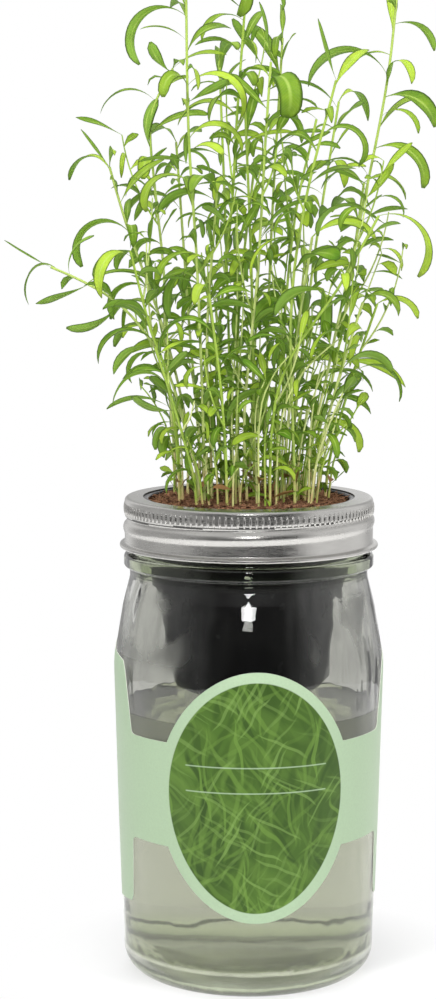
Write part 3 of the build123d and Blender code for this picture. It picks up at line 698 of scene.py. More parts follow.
def spray_group():
    """Soft long leaf shapes strewn at one slant in the label's own flat millimetres."""
    inputs = {
        "Slant": ("Vector", (0.0, 0.0, 0.0)), "Spacing": ("Float", 0.1), "Slenderness": ("Float", 4.0),
        "Softness": ("Float", 0.3), "Shift": ("Vector", (0.0, 0.0, 0.0)),
    }
    group, given, out = new_group("leaf_spray", "ShaderNodeTree", inputs, {"Mask": "Float", "Tone": "Float"})
    flat = made(group, "ShaderNodeUVMap", uv_map="print")
    wave = made(group, "ShaderNodeTexNoise", {"Vector": flat, "Scale": 0.06, "Detail": 1.0}, 1)
    bent = made(group, "ShaderNodeVectorMath", {0: wave, 1: (9.0, 9.0, 0.0), 2: flat}, operation="MULTIPLY_ADD")
    turned = made(group, "ShaderNodeMapping", {"Vector": bent, "Location": given["Shift"], "Rotation": given["Slant"]})
    x, y, _ = parts_of(group, turned)
    squeezed = made(group, "ShaderNodeCombineXYZ", {0: x, 1: y / given["Slenderness"]})
    values = {"Vector": squeezed, "Scale": given["Spacing"]}
    cells = wire(group, "ShaderNodeTexVoronoi", values, voronoi_dimensions="2D").outputs
    core = 0.16
    plug(group, Value(cells["Distance"]).ranged(given["Softness"] + core, core), out.inputs["Mask"])
    plug(group, made(group, "ShaderNodeSeparateColor", {0: cells["Color"]}), out.inputs["Tone"])
    return group


def leaf_spray(tree, slant, spacing, slenderness, softness, shift):
    group = bpy.data.node_groups.get("leaf_spray") or spray_group()
    return group_outputs(
        tree, group, Slant=(0.0, 0.0, math.radians(slant)), Spacing=spacing, Slenderness=slenderness,
        Softness=softness, Shift=(*shift, 0.0),
    )


# Materials.
def let_light_in(tree, shader, tint):
    """Lets rays from lamps and from matt surfaces go straight through clear material, faintly tinted."""
    clear = wire(tree, "ShaderNodeBsdfTransparent", {"Color": [c**SHADOW_TINT_POWER for c in tint]})
    path = wire(tree, "ShaderNodeLightPath").outputs
    for kind in ("Is Shadow Ray", "Is Diffuse Ray"):
        shader = blended(tree, path[kind], shader, clear)


def glass_material(s):
    """Clear glass: rippled, with darker streaks painted into its tint at the shoulder as shade, misted patches there,
    thicker and greener at the foot, and painted shade along its bottom, at the neck by the bead and in a line at the
    inner heel.
    """
    material, tree, shader = new_material("jar_glass")
    x, y, z = parts_of(tree, made(tree, "ShaderNodeTexCoord", output="Object"))
    foot = z.ranged(14 * MM, 5 * MM)
    shoulder = z.ranged(100 * MM, 120 * MM) * z.ranged(146 * MM, 140 * MM)
    ripple = noise_value(tree, object_place(tree, scale=(1, 1, 0.3)), 48.0, detail=2.0)
    shade_streaks = noise_value(tree, object_place(tree, scale=(1, 1, 0.16)), 150.0, detail=3.0, roughness=0.6)
    dents = noise_value(tree, object_place(tree, scale=(1, 1, 0.8)), 190.0, detail=2.0)

    def darker(share, glass=s.foot_glass_colour):
        return [share * c for c in glass]

    # Painted shade: darker streaks in the shoulder's tint stand for dark refractions in the glass.
    shade = mixed(tree, shade_streaks.ranged(0.42, 0.66) * shoulder, s.glass_colour, darker(0.74, s.glass_colour))
    wander = noise_value(tree, object_place(tree), 70.0, detail=1.5).ranged(0.3, 0.7, -1.5 * MM, 1.5 * MM)
    inner_wall = s.foot_radius - 2 * MM
    inner = (x * x + y * y).math("SQRT").ranged(inner_wall, inner_wall - 0.4 * MM) * y.ranged(0.0, 12 * MM)
    # Painted shade: a dark uneven line round the rear of the inner heel.
    heel_shade_line = abs(z + wander - s.heel_shade_line).ranged(0.8 * MM, 0.3 * MM) * inner
    for mask, share in (
        (foot, 1.0),
        # Painted shade: the glass darkens towards its bottom edge, a painted contact shadow.
        (z.ranged(7 * MM, 1.5 * MM), 0.62),
        (z.ranged(3.2 * MM, 1.8 * MM), 0.12),
        # Painted shade: the glass is darker at the neck by the bead.
        (z.ranged(145 * MM, 149 * MM), 0.62),
        (heel_shade_line, 0.08),
    ):
        shade = mixed(tree, mask, shade, darker(share))
    height = ripple * shoulder.ranged(0.0, 1.0, 1.0, 1.7) + dents * (foot * 0.22)
    cloud = noise_value(tree, object_place(tree, scale=(1, 1, 0.55), turn=(0.3, 0, 0)), 62.0, detail=2.0)
    zone = z.ranged(112 * MM, 122 * MM) * z.ranged(144 * MM, 138 * MM) * abs(x).ranged(14 * MM, 24 * MM)
    mist = cloud.ranged(0.46, 0.58, 0.0, s.mist) * zone
    rough = mist.math("MAXIMUM", z.ranged(15 * MM, 8 * MM, 0.0, 0.24))
    feed(tree, shader, Base_Color=shade, Roughness=rough, IOR=GLASS_IOR, Transmission_Weight=1.0)
    feed(tree, shader, Normal=bumped(tree, height, 0.0016, 0.6))
    let_light_in(tree, shader, s.glass_colour)
    return material


def water_material(s):
    material, tree, shader = new_material("reservoir_water")
    ripple = noise_value(tree, object_place(tree), 25.0, detail=1.0)
    feed(tree, shader, Base_Color=s.water_colour, Roughness=0.0, IOR=WATER_IOR, Transmission_Weight=1.0)
    feed(tree, shader, Normal=bumped(tree, ripple, 0.0006, 0.35))
    let_light_in(tree, shader, s.water_colour)
    return material


def paper_material(s):
    """Mint paper with a green printed oval of strewn leaf shapes, two thin rules and a pale border."""
    material, tree, shader = new_material("label_print")
    x, y, _ = parts_of(tree, made(tree, "ShaderNodeUVMap", uv_map="print"))
    across = x / ((s.oval_half_width - s.print_margin) / MM)
    upward = y / (((s.oval_high - s.oval_low) / 2 - s.print_margin) / MM)
    inside = (across * across + upward * upward).math("SQRT").ranged(1.004, 0.996)
    outputs = mottling(tree, 22.0, 1400.0)
    picture = mixed(tree, outputs["Patches"].ranged(0.35, 0.65), s.leaf_dark, s.leaf_mid)
    for slant, spacing, slenderness, softness, shift, tint, strength in (
        (-55, 0.15, 6.0, 0.30, (11, 3), s.leaf_light, 0.30),
        (20, 0.19, 9.0, 0.16, (3, 40), s.leaf_dark, 0.60),
        (-28, 0.22, 11.0, 0.12, (57, 21), s.leaf_dark, 0.50),
        (12, 0.24, 15.0, 0.12, (23, 77), s.leaf_light, 0.38),
        (-40, 0.29, 16.0, 0.10, (91, 5), s.leaf_light, 0.36),
        (52, 0.31, 15.0, 0.09, (7, 63), s.leaf_light, 0.32),
        (-8, 0.38, 20.0, 0.08, (41, 31), s.leaf_light, 0.44),
        (33, 0.42, 19.0, 0.07, (67, 87), s.leaf_bright, 0.30),
        (-62, 0.38, 18.0, 0.07, (15, 49), s.leaf_bright, 0.26),
    ):
        spray = leaf_spray(tree, slant, spacing, slenderness, softness, shift)
        weight = spray["Mask"].math("MULTIPLY", spray["Tone"] * (1.8 * strength), True)
        picture = mixed(tree, weight, picture, tint)
    middle = (s.oval_low + s.oval_high) / 2
    low_rule, high_rule = (abs(y - (z - middle) / MM).ranged(0.3, 0.14) for z in (s.rule_low, s.rule_high))
    rule = low_rule.math("MAXIMUM", high_rule) * abs(x).ranged(24.4, 24.0, 0.0, 0.7)
    picture = mixed(tree, rule, picture, s.paper_colour)
    plain = scaled(tree, s.paper_colour, outputs["Grain"].ranged(0.3, 0.7, 0.97, 1.03))
    feed(tree, shader, Base_Color=mixed(tree, inside, plain, picture), Roughness=0.42)
    feed(tree, shader, Specular_IOR_Level=0.35, Normal=bumped(tree, outputs["Grain"], 0.00003, 0.5))
    return material


def paper_core_material():
    material, tree, shader = new_material("label_core")
    grain = mottling(tree, 80.0, 2500.0)["Grain"]
    shade = mixed(tree, grain, (0.88, 0.92, 0.80), (0.96, 0.98, 0.90))
    feed(tree, shader, Base_Color=shade, Roughness=0.8, Normal=bumped(tree, grain, 0.00004))
    return material


def tinplate_material(s):
    material, tree, shader = new_material("band_tinplate")
    outputs = mottling(tree, 35.0, 700.0)
    rolled = noise_value(tree, object_place(tree, scale=(1, 1, 14)), 160.0, detail=4.0)
    tone = outputs["Patches"].ranged(0.3, 0.7, 0.93, 1.05) * rolled.ranged(0.3, 0.7, 0.96, 1.04)
    rough = outputs["Patches"].ranged(0.3, 0.7, 0.22, 0.32) + rolled.ranged(0.4, 0.6, -0.02, 0.03)
    feed(tree, shader, Base_Color=scaled(tree, s.metal_colour, tone), Metallic=1.0, Roughness=rough)
    feed(tree, shader, Normal=bumped(tree, rolled + outputs["Grain"], 0.00003, 0.6))
    return material


def shaded_lining_material(s):
    """A dark, dull copy of the tinplate inside the band: painted shade."""
    material, tree, shader = new_material("band_lining")
    outputs = mottling(tree, 60.0, 900.0)
    dark_lining = [0.22 * c for c in s.metal_colour]
    shade = mixed(tree, outputs["Patches"], dark_lining, [0.8 * c for c in dark_lining])
    feed(tree, shader, Base_Color=shade, Metallic=0.6, Roughness=outputs["Grain"].ranged(0.3, 0.7, 0.5, 0.65))
    feed(tree, shader, Normal=bumped(tree, outputs["Grain"], 0.00004))
    return material


def plastic_material(s):
    material, tree, shader = new_material("pot_plastic")
    outputs = mottling(tree, 70.0, 420.0)
    shade = mixed(tree, outputs["Patches"], s.plastic_colour, [2.2 * c for c in s.plastic_colour])
    feed(tree, shader, Base_Color=shade, Roughness=outputs["Patches"].ranged(0.3, 0.7, 0.16, 0.30))
    feed(tree, shader, Specular_IOR_Level=0.18, Normal=bumped(tree, outputs["Both"], 0.0004, 0.5))
    return material


def coir_material(s, name, lift, spread):
    """Coir from damp to dry: lift makes it paler, and spread sets how far its patches differ."""
    material, tree, shader = new_material(name)
    outputs = mottling(tree, 330.0, 1500.0)
    thready = noise_value(tree, object_place(tree, scale=(1, 3, 1), turn=(0, 0, 0.6)), 420.0, detail=3.0)
    patches = outputs["Patches"].ranged(0.36, 0.64, 0.25 - spread, 0.25 + spread)
    blend = patches.math("ADD", thready.ranged(0.3, 0.7, -0.2, 0.3), True).math("ADD", lift, True)
    feed(tree, shader, Base_Color=mixed(tree, blend, s.dark_colour, s.light_colour), Roughness=0.86)
    feed(tree, shader, Specular_IOR_Level=0.2, Normal=bumped(tree, thready + outputs["Grain"], 0.0006))
    return material


def felt_material(s):
    material, tree, shader = new_material("wick_felt")
    grain = mottling(tree, 200.0, 2200.0)["Grain"]
    fuzz = noise_value(tree, object_place(tree, scale=(3, 3, 1)), 900.0, detail=5.0)
    base = scaled(tree, s.felt_colour, fuzz.ranged(0.3, 0.7, 0.75, 1.0))
    feed(tree, shader, Base_Color=base, Roughness=0.95, Sheen_Weight=0.25)
    feed(tree, shader, Normal=bumped(tree, fuzz + grain, 0.0004))
    return material


def attribute(tree, name):
    return made(tree, "ShaderNodeAttribute", output="Fac", attribute_name=name)


def through_light(tree, shader, shade, normal, share):
    """Lets some light through the blade: a Translucent shader mixed with the Principled one."""
    blended(tree, share, shader, wire(tree, "ShaderNodeBsdfTranslucent", {"Color": shade, "Normal": normal}))


def leaf_material(s):
    """A blade's green by age and side, with its rib, veins, a dark rim painted as shade with a dark tip, and, near the
    soil, withered brown.
    """
    material, tree, shader = new_material("herb_leaf")
    across, along, side, tone = (attribute(tree, n) for n in ("blade_across", "blade_along", "blade_side", "tone"))
    outputs = mottling(tree, 180.0, 2400.0)
    age = tone.math("ADD", outputs["Patches"].ranged(0.3, 0.7, -0.14, 0.14), True)
    off = abs(across)
    rib = off.ranged(0.2, 0.06) * along.ranged(0.95, 0.6, 0.0, 0.6)
    # The dark rim is painted shade on the blade's edges; the dark tip is the leaf's own brown tip.
    rim = off.ranged(0.72, 0.96, 0.0, 0.85).math("MAXIMUM", along.ranged(0.93, 1.0, 0.0, 0.7))
    veins = abs(((along * VEIN_COUNT - off * VEIN_SLANT) * 3.1416).math("SINE")) ** 6.0
    shade = mixed(tree, age, s.leaf_colour, s.young_colour)
    shade = mixed(tree, side.ranged(-0.1, 0.1), s.under_colour, shade)
    for mask, tint in (
        (rib, (0.72, 0.90, 0.22)),
        (along.ranged(0.22, 0.02, 0.0, 0.7), s.stem_colour),
        (rim, s.rim_shade_and_tip_colour),
        (tone.ranged(1.05, 1.15), s.dry_colour),
        (veins * 0.12, (0.46, 0.62, 0.2)),
    ):
        shade = mixed(tree, mask, shade, tint)
    height = veins * -0.35 + (outputs["Grain"] * 0.08 + rib)
    normal = bumped(tree, height, 0.00018, 0.7)
    rough = outputs["Patches"].ranged(0.3, 0.7, 0.38, 0.55)
    feed(tree, shader, Base_Color=shade, Roughness=rough, Normal=normal, Specular_IOR_Level=0.6)
    through_light(tree, shader, mixed(tree, 0.4, shade, (0.62, 0.86, 0.06)), normal, 0.38)
    return material


def stem_material(s):
    """A stem's green by tone, paler near the soil and brownish at its foot."""
    material, tree, shader = new_material("herb_stem")
    outputs = mottling(tree, 120.0, 2000.0)
    _, _, height = parts_of(tree, made(tree, "ShaderNodeTexCoord", output="Object"))
    wander = outputs["Patches"].ranged(0.35, 0.65, -14 * MM, 14 * MM)
    foot = (height + wander).ranged(PLUG_HIGH.z + 12 * MM, PLUG_HIGH.z - 8 * MM)
    low = height.ranged(PLUG_HIGH.z + 120 * MM, PLUG_HIGH.z + 30 * MM, 0.15, 1.0)
    shade = mixed(tree, attribute(tree, "tone").ranged(0.1, 0.9) * low, s.stem_colour, s.pale_colour)
    shade = mixed(tree, foot, shade, s.foot_colour)
    shade = mixed(tree, outputs["Patches"].ranged(0.5, 0.72, 0.0, 0.55), shade, s.leaf_colour)
    normal = bumped(tree, outputs["Grain"], 0.00001, 0.4)
    feed(tree, shader, Base_Color=shade, Roughness=0.4, Specular_IOR_Level=0.6, Normal=normal)
    through_light(tree, shader, shade, normal, 0.18)
    return material


class HerbPlan:
    """Every stem's centreline and every leaf, with the clearances that the solids keep."""

    def __init__(self, sizes):
        for key in sizes.__annotations__:
            value = getattr(sizes, key)
            if isinstance(value, float):
                setattr(self, key, round(value / MM, 4) if key != "stem_share" else value)
        self.plug_top = round(PLUG_HIGH.z / MM, 4)
        self.stems = [self.stem_points(shares) for shares in STEM_SHARES]
        fine = [divided(points, 2 * self.stem_base_radius) for points in self.stems]
        self.stem_owner = np.concatenate([[i] * len(points) for i, points in enumerate(fine)])
        self.stem_cloud = np.concatenate([np.array(points) for points in fine])
        self.leaf_cloud = np.zeros((0, 3))
        self.leaf_reach = np.zeros(0)
        self.leaves = []
        self.shoots = []
        for row in EDGE_LEAF_SHARES:
            self.place(row)
        for own, points in enumerate(self.stems):
            for row in self.stem_leaves(own, points):
                self.place(row)

    def stem_points(self, shares):
        """A stem's centreline, about one point for each stem step."""
        foot, *rest = shares
        reach, height = self.crown_reach, self.crown_height
        knots = [(foot[0] * reach, foot[1] * reach, 0.0)]
        knots += [(x * reach, y * reach, h * height) for x, y, h in rest]
        slopes = []
        for i in range(len(knots)):
            before, after = knots[max(i - 1, 0)], knots[min(i + 1, len(knots) - 1)]
            slopes.append([(after[k] - before[k]) / (1 if i in (0, len(knots) - 1) else 2) for k in range(3)])
        slopes[0] = [0.0, 0.0, knots[1][2]]
        points = [knots[0]]
        for a, b, ta, tb in zip(knots, knots[1:], slopes, slopes[1:]):
            steps = max(2, round(math.dist(a, b) / self.stem_step))
            for n in range(1, steps + 1):
                t = n / steps
                blend = (2 * t**3 - 3 * t**2 + 1, t**3 - 2 * t**2 + t, 3 * t**2 - 2 * t**3, t**3 - t**2)
                points.append(tuple(sum(w * q[k] for w, q in zip(blend, (a, ta, b, tb))) for k in range(3)))
        return [(x, y, z + self.plug_top) for x, y, z in points]

    def along(self, points, share):
        """The point at a share of a line's length."""
        left = share * total_length(points)
        for a, b in zip(points, points[1:]):
            span = math.dist(a, b)
            if left <= span or b is points[-1]:
                return between(a, b, min(left / span, 1.0))
            left -= span

    def leaf_spine(self, start, azimuth, reach, rise, curl, steps=LEAF_STEPS):
        """A leaf's centreline: it leaves at the rise angle and turns down by the curl angle."""
        a = math.radians(azimuth)
        spine = [start]
        for n in range(steps):
            e = math.radians(rise - curl * (n + 0.5) / steps)
            step = reach / steps
            x, y, z = spine[-1]
            flat = step * math.cos(e)
            spine.append((x + flat * math.cos(a), y + flat * math.sin(a), z + step * math.sin(e)))
        return spine

    def is_clear(self, spine, halves, own):
        """Whether a leaf keeps its clearance from other stems, other leaves and the soil."""
        others = self.stem_cloud[self.stem_owner != own]
        for here, half in list(zip(spine, halves))[1:]:
            if here[2] - half < self.plug_top + self.leaf_clearance:
                return False
            room = half + self.leaf_clearance
            if (np.linalg.norm(others - here, axis=1) < room + self.stem_base_radius).any():
                return False
            if (np.linalg.norm(self.leaf_cloud - here, axis=1) < room + self.leaf_reach).any():
                return False
        return True

    def keep(self, line, reach):
        """Notes a line's room, so that nothing later grows through it."""
        cloud = divided(line, self.leaf_width / 2)
        self.leaf_cloud = np.concatenate([self.leaf_cloud, np.array(cloud)])
        self.leaf_reach = np.concatenate([self.leaf_reach, np.full(len(cloud), reach)])

    def place(self, row, start=None):
        """Turns a leaf until it is clear and keeps it: a full leaf on its stem, or a small one at the given start."""
        own, place, azimuth, reach, width, rise, curl, roll = row
        reach *= self.young_length if start else self.leaf_length
        width *= self.young_width if start else self.leaf_width
        start = start or self.along(self.stems[own], place)
        halves = [max(w * width, self.petiole_width if n < 2 else 0.0) / 2 for n, w in enumerate(LEAF_WIDTH_SHARES)]
        for attempt in range(LEAF_TURN_TRIES):
            turned = azimuth + LEAF_TURN_DEGREES * attempt * (-1) ** attempt
            spine = self.leaf_spine(start, turned, reach, rise, curl)
            if self.is_clear(spine, halves, own):
                self.keep(spine, max(halves))
                self.leaves.append((own, start, turned, reach, width, rise, curl, roll))
                return

    def stem_leaves(self, own, points):
        """The leaves along a stem, one for each node pitch, as rows like the edge leaves."""
        steps = int(total_length(points) / self.node_pitch)
        for n in range(1, steps + 1):
            place = n / (steps + 0.25)
            reach = LEAF_LENGTH_MEAN_SHARE + LEAF_LENGTH_SWING_SHARE * math.sin(2.4 * n + own)
            if self.along(points, place)[2] < self.plug_top + self.foot_leaf_zone:
                reach *= FOOT_LEAF_LENGTH_SHARE
            width = LEAF_WIDTH_MEAN_SHARE + LEAF_WIDTH_SWING_SHARE * math.cos(1.7 * n + 2 * own)
            rise = LEAF_RISE_DEGREES + LEAF_RISE_SWING_DEGREES * math.sin(1.3 * n + 0.7 * own)
            curl = LEAF_CURL_DEGREES + LEAF_CURL_SWING_DEGREES * math.cos(2.1 * n + own)
            roll = LEAF_ROLL_DEGREES * math.sin(1.9 * n + 1.3 * own)
            yield own, place, own * STEM_TURN_DEGREES + n * GOLDEN_DEGREES, reach, width, rise, curl, roll

    def add_shoot(self, own, line, radius):
        """Keeps a thin line if it is clear."""
        clear = self.is_clear(line, [radius] * len(line), own)
        if clear:
            self.shoots.append((own, line, radius))
            self.keep(line, radius)
        return clear

    def add_sprouts(self):
        """Young stems, which only the dressed plants have: they stand by each stem and lean with it."""
        for own, points in enumerate(self.stems):
            for n in range(SPROUT_COUNT):
                height = 0.30 + 0.42 * ((0.618 * n + 0.29 * own) % 1.0)
                spread = self.sprout_spread * (0.75 + 0.3 * math.sin(3.7 * n + own))
                for attempt in range(LEAF_TURN_TRIES):
                    a = math.radians(own * 67 + n * GOLDEN_DEGREES + 31 * attempt)
                    line = []
                    for t in np.linspace(0, 1, 12):
                        x, y, z = self.along(points, t * height)
                        out, sag = spread * (1 + 1.3 * t * t), 0.06 * t * t * self.crown_height
                        line.append((x + out * math.cos(a), y + out * math.sin(a), z - sag))
                    inside = math.hypot(*line[0][:2]) < self.sprout_reach
                    if inside and self.add_shoot(own, line, self.sprout_radius):
                        break

    def add_shoots(self):
        """Thin side shoots, which only the dressed plants have: they leave a stem and turn upwards."""
        for own, points in enumerate(self.stems):
            for n in range(1 + round(total_length(points) / self.shoot_pitch)):
                start = self.along(points, 0.10 + 0.72 * ((0.618 * n + 0.37 * own) % 1.0))
                reach = self.shoot_length * (0.75 + 0.45 * math.sin(2.1 * n + 1.7 * own))
                rise = 52 + 9 * math.sin(own + n)
                for attempt in range(LEAF_TURN_TRIES):
                    azimuth = own * 83 + n * GOLDEN_DEGREES + 29 * attempt
                    if self.add_shoot(own, self.leaf_spine(start, azimuth, reach, rise, -34, 8), self.shoot_radius):
                        break

    def add_small_leaves(self):
        """Small leaves on the shoots, between the large leaves and low over the soil."""
        lines = [(own, line, self.shoot_leaf_pitch, 0.06) for own, line, _ in self.shoots]
        lines += [(own, points, self.young_pitch, 0.02) for own, points in enumerate(self.stems)]
        for i, (own, line, pitch, first) in enumerate(lines):
            steps = max(3, int((1 - first) * total_length(line) / pitch))
            for n in range(steps + 1):
                place = first + (1 - first) * n / steps
                start = self.along(line, place)
                height = (start[2] - self.plug_top) / self.crown_height
                reach = (0.85 + 0.35 * math.sin(3.1 * n + 2 * i)) * float(np.interp(height, *SMALL_LEAF_SHARES))
                width = 0.95 + 0.3 * math.cos(2.3 * n + i)
                rise, curl = 46 + 26 * math.sin(2.9 * n + i), 70 + 70 * math.cos(1.9 * n + i)
                azimuth = i * 97 + (n + 0.5) * GOLDEN_DEGREES
                self.place((own, place, azimuth, reach, width, rise, curl, 60 * math.sin(2.7 * n + i)), start)

    def add_tufts(self):
        """Short steep leaves round the foot of every stem and young stem."""
        feet = [*enumerate(self.stems), *((own, line) for own, line, _ in self.shoots)]
        feet = [(own, line) for own, line in feet if line[0][2] < self.plug_top + 1]
        for i, (own, line) in enumerate(feet):
            for n in range(TUFT_COUNT):
                place = (0.8 + 1.2 * n) / total_length(line)
                reach = 0.46 + 0.30 * math.sin(2.3 * n + i)
                width = 0.62 + 0.35 * math.cos(3.1 * n + i)
                rise, curl = 58 + 22 * math.sin(1.7 * n + 2 * i), 45 + 50 * math.cos(2.9 * n + i)
                row = (own, place, i * 53 + n * GOLDEN_DEGREES, reach, width, rise, curl, 60 * math.sin(n + i))
                self.place(row, self.along(line, place))


def herb_lines(plan, own):
    """One plant as polylines with what its growth tree reads: radius, kind, tone and the blade's across direction."""
    points, edges, across = [], [], []
    values = {"radius_here": [], "is_leaf": [], "tone": []}

    def add_line(line, widths, is_leaf, shade, sides=None):
        first = len(points)
        points.extend(Vector(p) * MM for p in line)
        edges.extend((first + n, first + n + 1) for n in range(len(line) - 1))
        values["radius_here"].extend(w * MM for w in widths)
        values["is_leaf"].extend([is_leaf] * len(line))
        values["tone"].extend([shade] * len(line))
        across.extend(sides or [(1.0, 0.0, 0.0)] * len(line))

    def swing(x):
        return 0.5 + 0.5 * math.sin(x)

    stem = plan.stems[own]
    widths = np.linspace(plan.stem_base_radius * plan.stem_share, plan.stem_tip_radius, len(stem))
    add_line(stem, widths, 0.0, swing(2.3 * own))
    for n, (owner, shoot, room) in enumerate(plan.shoots):
        if owner == own:
            add_line(shoot, np.linspace(room, 0.6 * room, len(shoot)), 0.0, swing(1.9 * n + own))
    for n, (owner, start, azimuth, reach, width, rise, curl, roll) in enumerate(plan.leaves):
        if owner != own:
            continue
        steps = 2 * LEAF_STEPS
        spine = plan.leaf_spine(start, azimuth, reach, rise, curl, steps)
        narrow = swing(4.1 * n + own)
        halves = [(a + (b - a) * narrow) * width / 2 for a, b in zip(FINE_WIDTH_SHARES, NARROW_WIDTH_SHARES)]
        a = math.radians(azimuth + 90)
        flat = Vector((math.cos(a), math.sin(a), 0))
        sides = []
        for k in range(steps + 1):
            before, after = Vector(spine[max(k - 1, 0)]), Vector(spine[min(k + 1, steps)])
            forward = (after - before).normalized()
            r = math.radians(roll * (0.35 + 0.65 * k / steps) + 9 * math.sin(n + 0.5 * k))
            sides.append(tuple(flat * math.cos(r) + forward.cross(flat) * math.sin(r)))
        height_share = (start[2] - plan.plug_top) / plan.crown_height
        shade = 0.06 + 0.14 * height_share + 0.70 * swing(5.3 * n + 1.7 * own) ** 1.4
        withered = start[2] < plan.plug_top + 9 and math.sin(3.3 * n) > 0.35
        add_line(spine, halves, 1.0, WITHERED_TONE if withered else min(max(shade, 0.0), 1.0), sides)
    return points, edges, values, across


# Geometry Nodes trees.
def joined_up(tree, out, parts):
    """Ends a tree: gives each part its material, joins them and makes them real and smooth."""
    joined = wire(tree, "GeometryNodeJoinGeometry")
    for geometry, material in parts:
        painted = made(tree, "GeometryNodeSetMaterial", {"Geometry": geometry, "Material": material})
        plug(tree, painted, joined.inputs[0])
    real = made(tree, "GeometryNodeRealizeInstances", {"Geometry": joined.outputs[0]})
    plug(tree, made(tree, "GeometryNodeSetShadeSmooth", {"Geometry": real}), out.inputs[0])
    return tree


def growth_tree():
    """Turns a plant's lines into round stems and channelled blades."""
    inputs = {
        "Lines": ("Geometry", None), "Stem sides": ("Int", 7), "Blade points": ("Int", 8),
        "Blade thickness": ("Float", 0.09), "Blade channel": ("Float", 0.34), "Leaf step": ("Float", 0.0018),
        "Stem step": ("Float", 0.004), "Stem material": ("Material", None), "Leaf material": ("Material", None),
    }
    tree, g, out = new_group("herb_growth", "GeometryNodeTree", inputs, {"Plant": "Geometry"})

    def add(kind, values=None, output=0, **settings):
        return made(tree, "GeometryNode" + kind, values, output, **settings)

    def named(name, data_type="FLOAT"):
        return add("InputNamedAttribute", {"Name": name}, data_type=data_type)

    def stored(geometry, name, value):
        values = {"Geometry": geometry, "Name": name, "Value": value}
        return add("StoreNamedAttribute", values, data_type="FLOAT", domain="POINT")

    def swept(lines, step, profile, cross):
        curve = add("CurveSplineType", {"Curve": add("MeshToCurve", {"Mesh": lines})}, spline_type="CATMULL_ROM")
        curve = add("ResampleCurve", {"Curve": curve, "Length": step}, mode="LENGTH")
        if cross:
            curve = add("SetCurveNormal", {"Curve": curve, "Normal": named("across", "FLOAT_VECTOR")}, mode="FREE")
        curve = add("SetCurveRadius", {"Curve": curve, "Radius": named("radius_here")})
        curve = stored(curve, "blade_along", add("SplineParameter", output="Factor"))
        node = wire(tree, "GeometryNodeCurveToMesh", {"Curve": curve, "Profile Curve": profile, "Fill Caps": True})
        if "Scale" in node.inputs:
            plug(tree, named("radius_here"), node.inputs["Scale"])
        return node.outputs[0]

    split = wire(
        tree, "GeometryNodeSeparateGeometry", {"Geometry": g["Lines"], "Selection": named("is_leaf")}, domain="POINT"
    ).outputs
    ring = add("CurvePrimitiveCircle", {"Resolution": g["Blade points"], "Radius": 1.0})
    x, y, _ = parts_of(tree, add("InputPosition"))
    for name, value in (("blade_across", x), ("blade_side", y)):
        ring = stored(ring, name, value)
    channelled = y * g["Blade thickness"] + g["Blade channel"] * abs(x) ** 1.6
    section = made(tree, "ShaderNodeCombineXYZ", {0: x, 1: channelled})
    blade = add("SetPosition", {"Geometry": ring, "Position": section})
    round_section = add("CurvePrimitiveCircle", {"Resolution": g["Stem sides"], "Radius": 1.0})
    leaves = swept(split[0], g["Leaf step"], blade, True)
    stems = swept(split[1], g["Stem step"], round_section, False)
    return joined_up(tree, out, [(leaves, g["Leaf material"]), (stems, g["Stem material"])])


def knurl_tree():
    """A belt of upright ridges on a circle."""
    inputs = {
        "Count": ("Int", 132), "Radius": ("Float", 0.0445), "Middle": ("Float", 0.169),
        "Ridge size": ("Vector", (0.0006, 0.0012, 0.004)), "Material": ("Material", None),
    }
    tree, g, out = new_group("knurl_belt", "GeometryNodeTree", inputs, {"Belt": "Geometry"})
    circle = made(tree, "GeometryNodeCurvePrimitiveCircle", {"Resolution": g["Count"], "Radius": g["Radius"]})
    lift = made(tree, "ShaderNodeCombineXYZ", {2: g["Middle"]})
    circle = made(tree, "GeometryNodeSetPosition", {"Geometry": circle, "Offset": lift})
    turn = made(tree, "FunctionNodeAlignEulerToVector", {"Vector": made(tree, "GeometryNodeInputTangent")}, axis="Y")
    ball = made(tree, "GeometryNodeMeshUVSphere", {"Segments": 8, "Rings": 7, "Radius": 0.5})
    values = {"Points": circle, "Instance": ball, "Rotation": turn, "Scale": g["Ridge size"]}
    return joined_up(tree, out, [(made(tree, "GeometryNodeInstanceOnPoints", values), g["Material"])])


